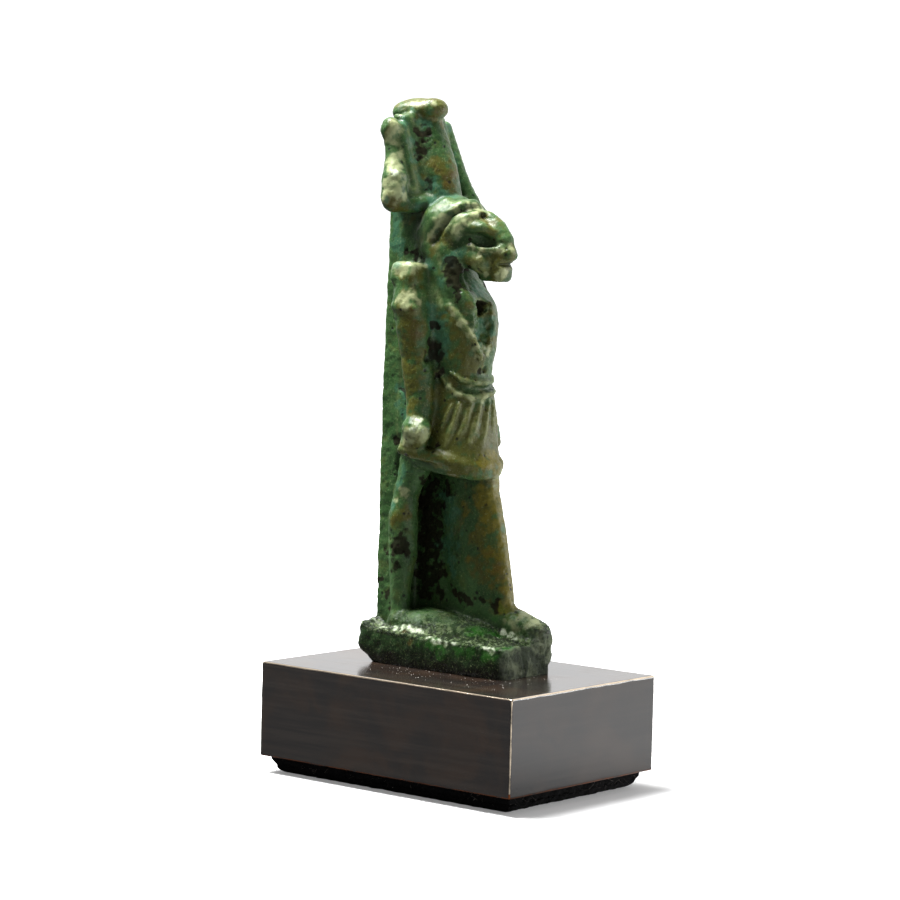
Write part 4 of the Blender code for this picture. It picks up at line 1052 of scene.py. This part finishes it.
def felt_pad():
    """A cut pad: its top a little inside the block, its furry sides drawn in towards the table."""
    low, high = box_of("pad")
    high[2] = box_of("display_block")[0][2]
    mesh = rounded_box("felt_pad", low, high, PAD_RIM, PAD_CELLS)
    points = np.array([v.co for v in mesh.vertices])
    middle, half = (low + high) / 2, (high - low) / 2
    depth = (high[2] - points[:, 2]) / (high[2] - low[2])
    for axis in (0, 1):
        drawn = 1 - (PAD_INSET + PAD_DRAWN * depth ** 1.3) / half[axis]
        points[:, axis] = middle[axis] + (points[:, axis] - middle[axis]) * drawn
    fur = grain(points * 1000, 1.1, 4, 15.0) * 0.00022 + grain(points * 1000, 0.4, 3, 2.0) * 0.00008
    way = points - middle
    way[:, 2] = 0
    way /= np.maximum(np.linalg.norm(way, axis=1, keepdims=True), 1e-6)
    points += way * (fur * smooth(0.0, 0.2, depth))[:, None]
    mesh.vertices.foreach_set("co", points.ravel())
    return mesh


def strewn(name, ground, shape, material, density, smallest, largest, lean, seed):
    """Copies of a small shape strewn over the faces of a mesh, as one plain mesh."""
    tree = bpy.data.node_groups.new(name, "GeometryNodeTree")
    put = tree.interface.new_socket
    put("Ground", in_out="INPUT", socket_type="NodeSocketGeometry")
    amounts = {"Density": density, "Smallest": smallest, "Largest": largest, "Lean": lean}
    for label in amounts:
        put(label, in_out="INPUT", socket_type="NodeSocketFloat")
    put("Strewn", in_out="OUTPUT", socket_type="NodeSocketGeometry")

    def add(kind, settings=(), links=()):
        node = tree.nodes.new(kind)
        for key, value in dict(settings).items():
            setattr(node, key, value)
        for key, value in dict(links).items():
            if isinstance(value, bpy.types.NodeSocket):
                tree.links.new(node.inputs[key], value)
            else:
                node.inputs[key].default_value = value
        return node

    given = add("NodeGroupInput").outputs
    spots = add("GeometryNodeDistributePointsOnFaces", {}, {
        0: given["Ground"], "Density": given["Density"], "Seed": seed,
    })
    size = add("FunctionNodeRandomValue", {}, {
        2: given["Smallest"], 3: given["Largest"], "Seed": seed + 1,
    })
    spin = add("FunctionNodeRandomValue", {"data_type": "FLOAT_VECTOR"}, {
        0: (-1, -1, -3.1), 1: (1, 1, 3.1), "Seed": seed + 2,
    })
    tilt = add("ShaderNodeVectorMath", {"operation": "SCALE"}, {0: spin.outputs[0], 3: given["Lean"]})
    turn = add("FunctionNodeRotateEuler", {"rotation_type": "EULER", "space": "LOCAL"}, {
        0: spots.outputs["Rotation"], 1: tilt.outputs[0],
    })
    copies = add("GeometryNodeInstanceOnPoints", {}, {
        "Points": spots.outputs["Points"], "Instance": shape(add),
        "Rotation": turn.outputs[0], "Scale": size.outputs[1],
    })
    real = add("GeometryNodeRealizeInstances", {}, {0: copies.outputs[0]})
    coated = add("GeometryNodeSetMaterial", {}, {0: real.outputs[0], "Material": material})
    out = add("NodeGroupOutput")
    tree.links.new(out.inputs[0], coated.outputs[0])
    holder = bpy.data.objects.new(name, ground)
    bpy.context.scene.collection.objects.link(holder)
    modifier = holder.modifiers.new(name, "NODES")
    modifier.node_group = tree
    for item in tree.interface.items_tree:
        if item.name in amounts:
            modifier[item.identifier] = amounts[item.name]
    mesh = bpy.data.meshes.new_from_object(holder.evaluated_get(bpy.context.evaluated_depsgraph_get()))
    bpy.data.objects.remove(holder)
    mesh.name = name
    return mesh


def hair_shape(add):
    """A thin bent fibre one unit long."""
    bow = add("GeometryNodeCurveQuadraticBezier", {}, {
        "Resolution": 5, "Start": (0, 0, 0), "Middle": (0.35, 0, 0.5), "End": (0.1, 0.25, 1),
    })
    ring = add("GeometryNodeCurvePrimitiveCircle", {}, {"Resolution": 3, "Radius": 0.016})
    fibre = {0: bow.outputs[0], 1: ring.outputs[0], "Fill Caps": True}
    return add("GeometryNodeCurveToMesh", {}, fibre).outputs[0]


def grain_shape(add):
    return add("GeometryNodeMeshIcoSphere", {}, {"Radius": 1.0, "Subdivisions": 1}).outputs[0]


def sheet(name, corners):
    mesh = bpy.data.meshes.new(name)
    mesh.from_pydata([tuple(c) for c in corners], [], [tuple(range(len(corners)))])
    return mesh


def pad_hairs(material):
    """Fibres that stand out of the pad's sides, some of them up over the block's lower edge."""
    low, high = box_of("pad")
    top = box_of("display_block")[0][2]
    inset = 0.0004
    foot = low[2] + 0.0009
    (x0, y0), (x1, y1) = low[:2] + inset, high[:2] - inset
    corners = [(x0, y0), (x1, y0), (x1, y1), (x0, y1)]
    points, faces = [], []
    for (x, y), (u, v) in zip(corners, corners[1:] + corners[:1]):
        first = len(points)
        points += [(x, y, foot), (u, v, foot), (u, v, top), (x, y, top)]
        faces.append((first, first + 1, first + 2, first + 3))
    ground = bpy.data.meshes.new("pad_sides")
    ground.from_pydata(points, [], faces)
    return strewn("felt_hairs", ground, hair_shape, material,
                  density=1.6e6, smallest=0.0003, largest=0.0009, lean=0.9, seed=4)


def block_dust(material):
    """Grains that fell from the amulet onto the block's top, most of them along the base."""
    top = box_of("display_block")[1][2]
    low, high = box_of("amulet")
    ground = sheet("dusty", [(low[0] - 0.0036, low[1] - 0.0034, top),
            (high[0] - 0.004, low[1] - 0.0034, top),
                             (low[0] + 0.001, high[1] - 0.006, top),
                             (low[0] - 0.0030, high[1] - 0.006, top)])
    return strewn("dust_grains", ground, grain_shape, material,
                  density=7e5, smallest=0.000012, largest=0.00005, lean=1.0, seed=9)


piece("glazed_amulet", figure(), faience(), "amulet")
low, high = box_of("display_block")
block_metal = bronze()
piece("bronze_block", rounded_box("bronze_block", low, high, BLOCK_RIM, BLOCK_CELLS, BLOCK_WANDER),
      block_metal, "display_block")
dust_grey = dust()
piece("dust_grains", block_dust(dust_grey), dust_grey, "display_block")
piece("felt_pad", felt_pad(), felt(), "pad")
hair_grey = hair()
piece("felt_hairs", pad_hairs(hair_grey), hair_grey, "pad")


# Floor, lights and camera


def floor():
    """A table that the camera sees white, its glow dimmed near the pad into painted shade around it,
    and that lights the object only from the camera's right.
    """
    mesh = bpy.data.meshes.new("floor")
    mesh.from_pydata([(-3, -3, 0), (3, -3, 0), (3, 3, 0), (-3, 3, 0)], [], [(0, 1, 2, 3)])
    thing = bpy.data.objects.new("floor", mesh)
    bpy.context.scene.collection.objects.link(thing)
    it = Finish("white_table")
    seen = it.node("ShaderNodeLightPath", out="Is Camera Ray")
    grey, white = (0.07, 0.07, 0.07, 1), (0.75, 0.75, 0.75, 1)
    paper = it.node("ShaderNodeBsdfDiffuse", {}, {"Color": it.mix(seen, grey, white)})
    far = it.node("ShaderNodeVectorMath", {"operation": "LENGTH"}, {0: it.place}, "Value")
    aside = it.node("ShaderNodeVectorMath", {"operation": "DOT_PRODUCT"},
                    {0: it.place, 1: (0.6, -0.8, 0)}, "Value")
    # Painted shade: for the camera the table's glow falls from 1.0 far out to 0.2 near the pad
    light = seen * (0.2 + far.rise(0.04, 0.16) * 0.8) + (1 - seen) * aside.rise(0.0, 0.05) * 1.1
    glow = it.node("ShaderNodeEmission", {}, {"Color": (1, 1, 1, 1), "Strength": light})
    it.node_out(it.node("ShaderNodeAddShader", {}, {0: paper, 1: glow}))
    mesh.materials.append(it.material)


def lamp(name, place, target, size, power):
    light = bpy.data.lights.new(name, "AREA")
    light.shape = "RECTANGLE"
    light.size, light.size_y = size
    light.energy = power
    thing = bpy.data.objects.new(name, light)
    thing.location = place
    thing.rotation_euler = (Vector(target) - Vector(place)).to_track_quat("-Z", "Y").to_euler()
    bpy.context.scene.collection.objects.link(thing)


def studio():
    """White cards behind, dim ones elsewhere, and soft lamps above and on the camera's right."""
    world = bpy.data.worlds.new("studio")
    bpy.context.scene.world = world
    world.use_nodes = True
    room = Finish("cards", world.node_tree)
    way = room.node("ShaderNodeTexCoord", out="Generated")
    behind = room.node("ShaderNodeVectorMath", {"operation": "DOT_PRODUCT"},
                       {0: way, 1: (0.9, 0.42, 0.0)}, "Value")
    seen = room.node("ShaderNodeLightPath", out="Is Camera Ray")
    cards = 0.17 + behind.rise(0.0, 0.8) * 1.1
    glow = room.node("ShaderNodeBackground", {}, {"Color": (1, 1, 1, 1), "Strength": seen.most(cards)})
    room.tree.links.new(room.tree.nodes.new("ShaderNodeOutputWorld").inputs["Surface"], glow.socket)
    lamp("overhead", place=(-0.07, 0.13, 0.43), target=(0, 0, 0.04), size=(0.18, 0.18), power=6.5)
    lamp("right", place=(0.55, -0.5, 0.06), target=(0, 0, 0.02), size=(0.3, 0.3), power=2.5)
    bpy.context.scene.view_settings.view_transform = "Standard"


def camera():
    azimuth, elevation, roll = (math.radians(v) for v in (-50.436, 4.501, 1.448))
    distance, aside, height = 0.34505, -0.001455, 0.037065
    level = math.cos(elevation)
    back = Vector((math.sin(azimuth) * level, -math.cos(azimuth) * level, math.sin(elevation)))
    right = Vector((math.cos(azimuth), math.sin(azimuth), 0))
    up = back.cross(right)
    level_right = right * math.cos(roll) + up * math.sin(roll)
    level_up = up * math.cos(roll) - right * math.sin(roll)
    lens = bpy.data.cameras.new("view")
    lens.sensor_width = 36
    lens.lens = 124
    lens.clip_start, lens.clip_end = 0.01, 10
    thing = bpy.data.objects.new("view", lens)
    bpy.context.scene.collection.objects.link(thing)
    place = right * aside + Vector((0, 0, height)) + back * distance
    turn = Matrix((level_right, level_up, back)).transposed().to_4x4()
    thing.matrix_world = Matrix.Translation(place) @ turn
    bpy.context.scene.camera = thing


floor()
studio()
camera()
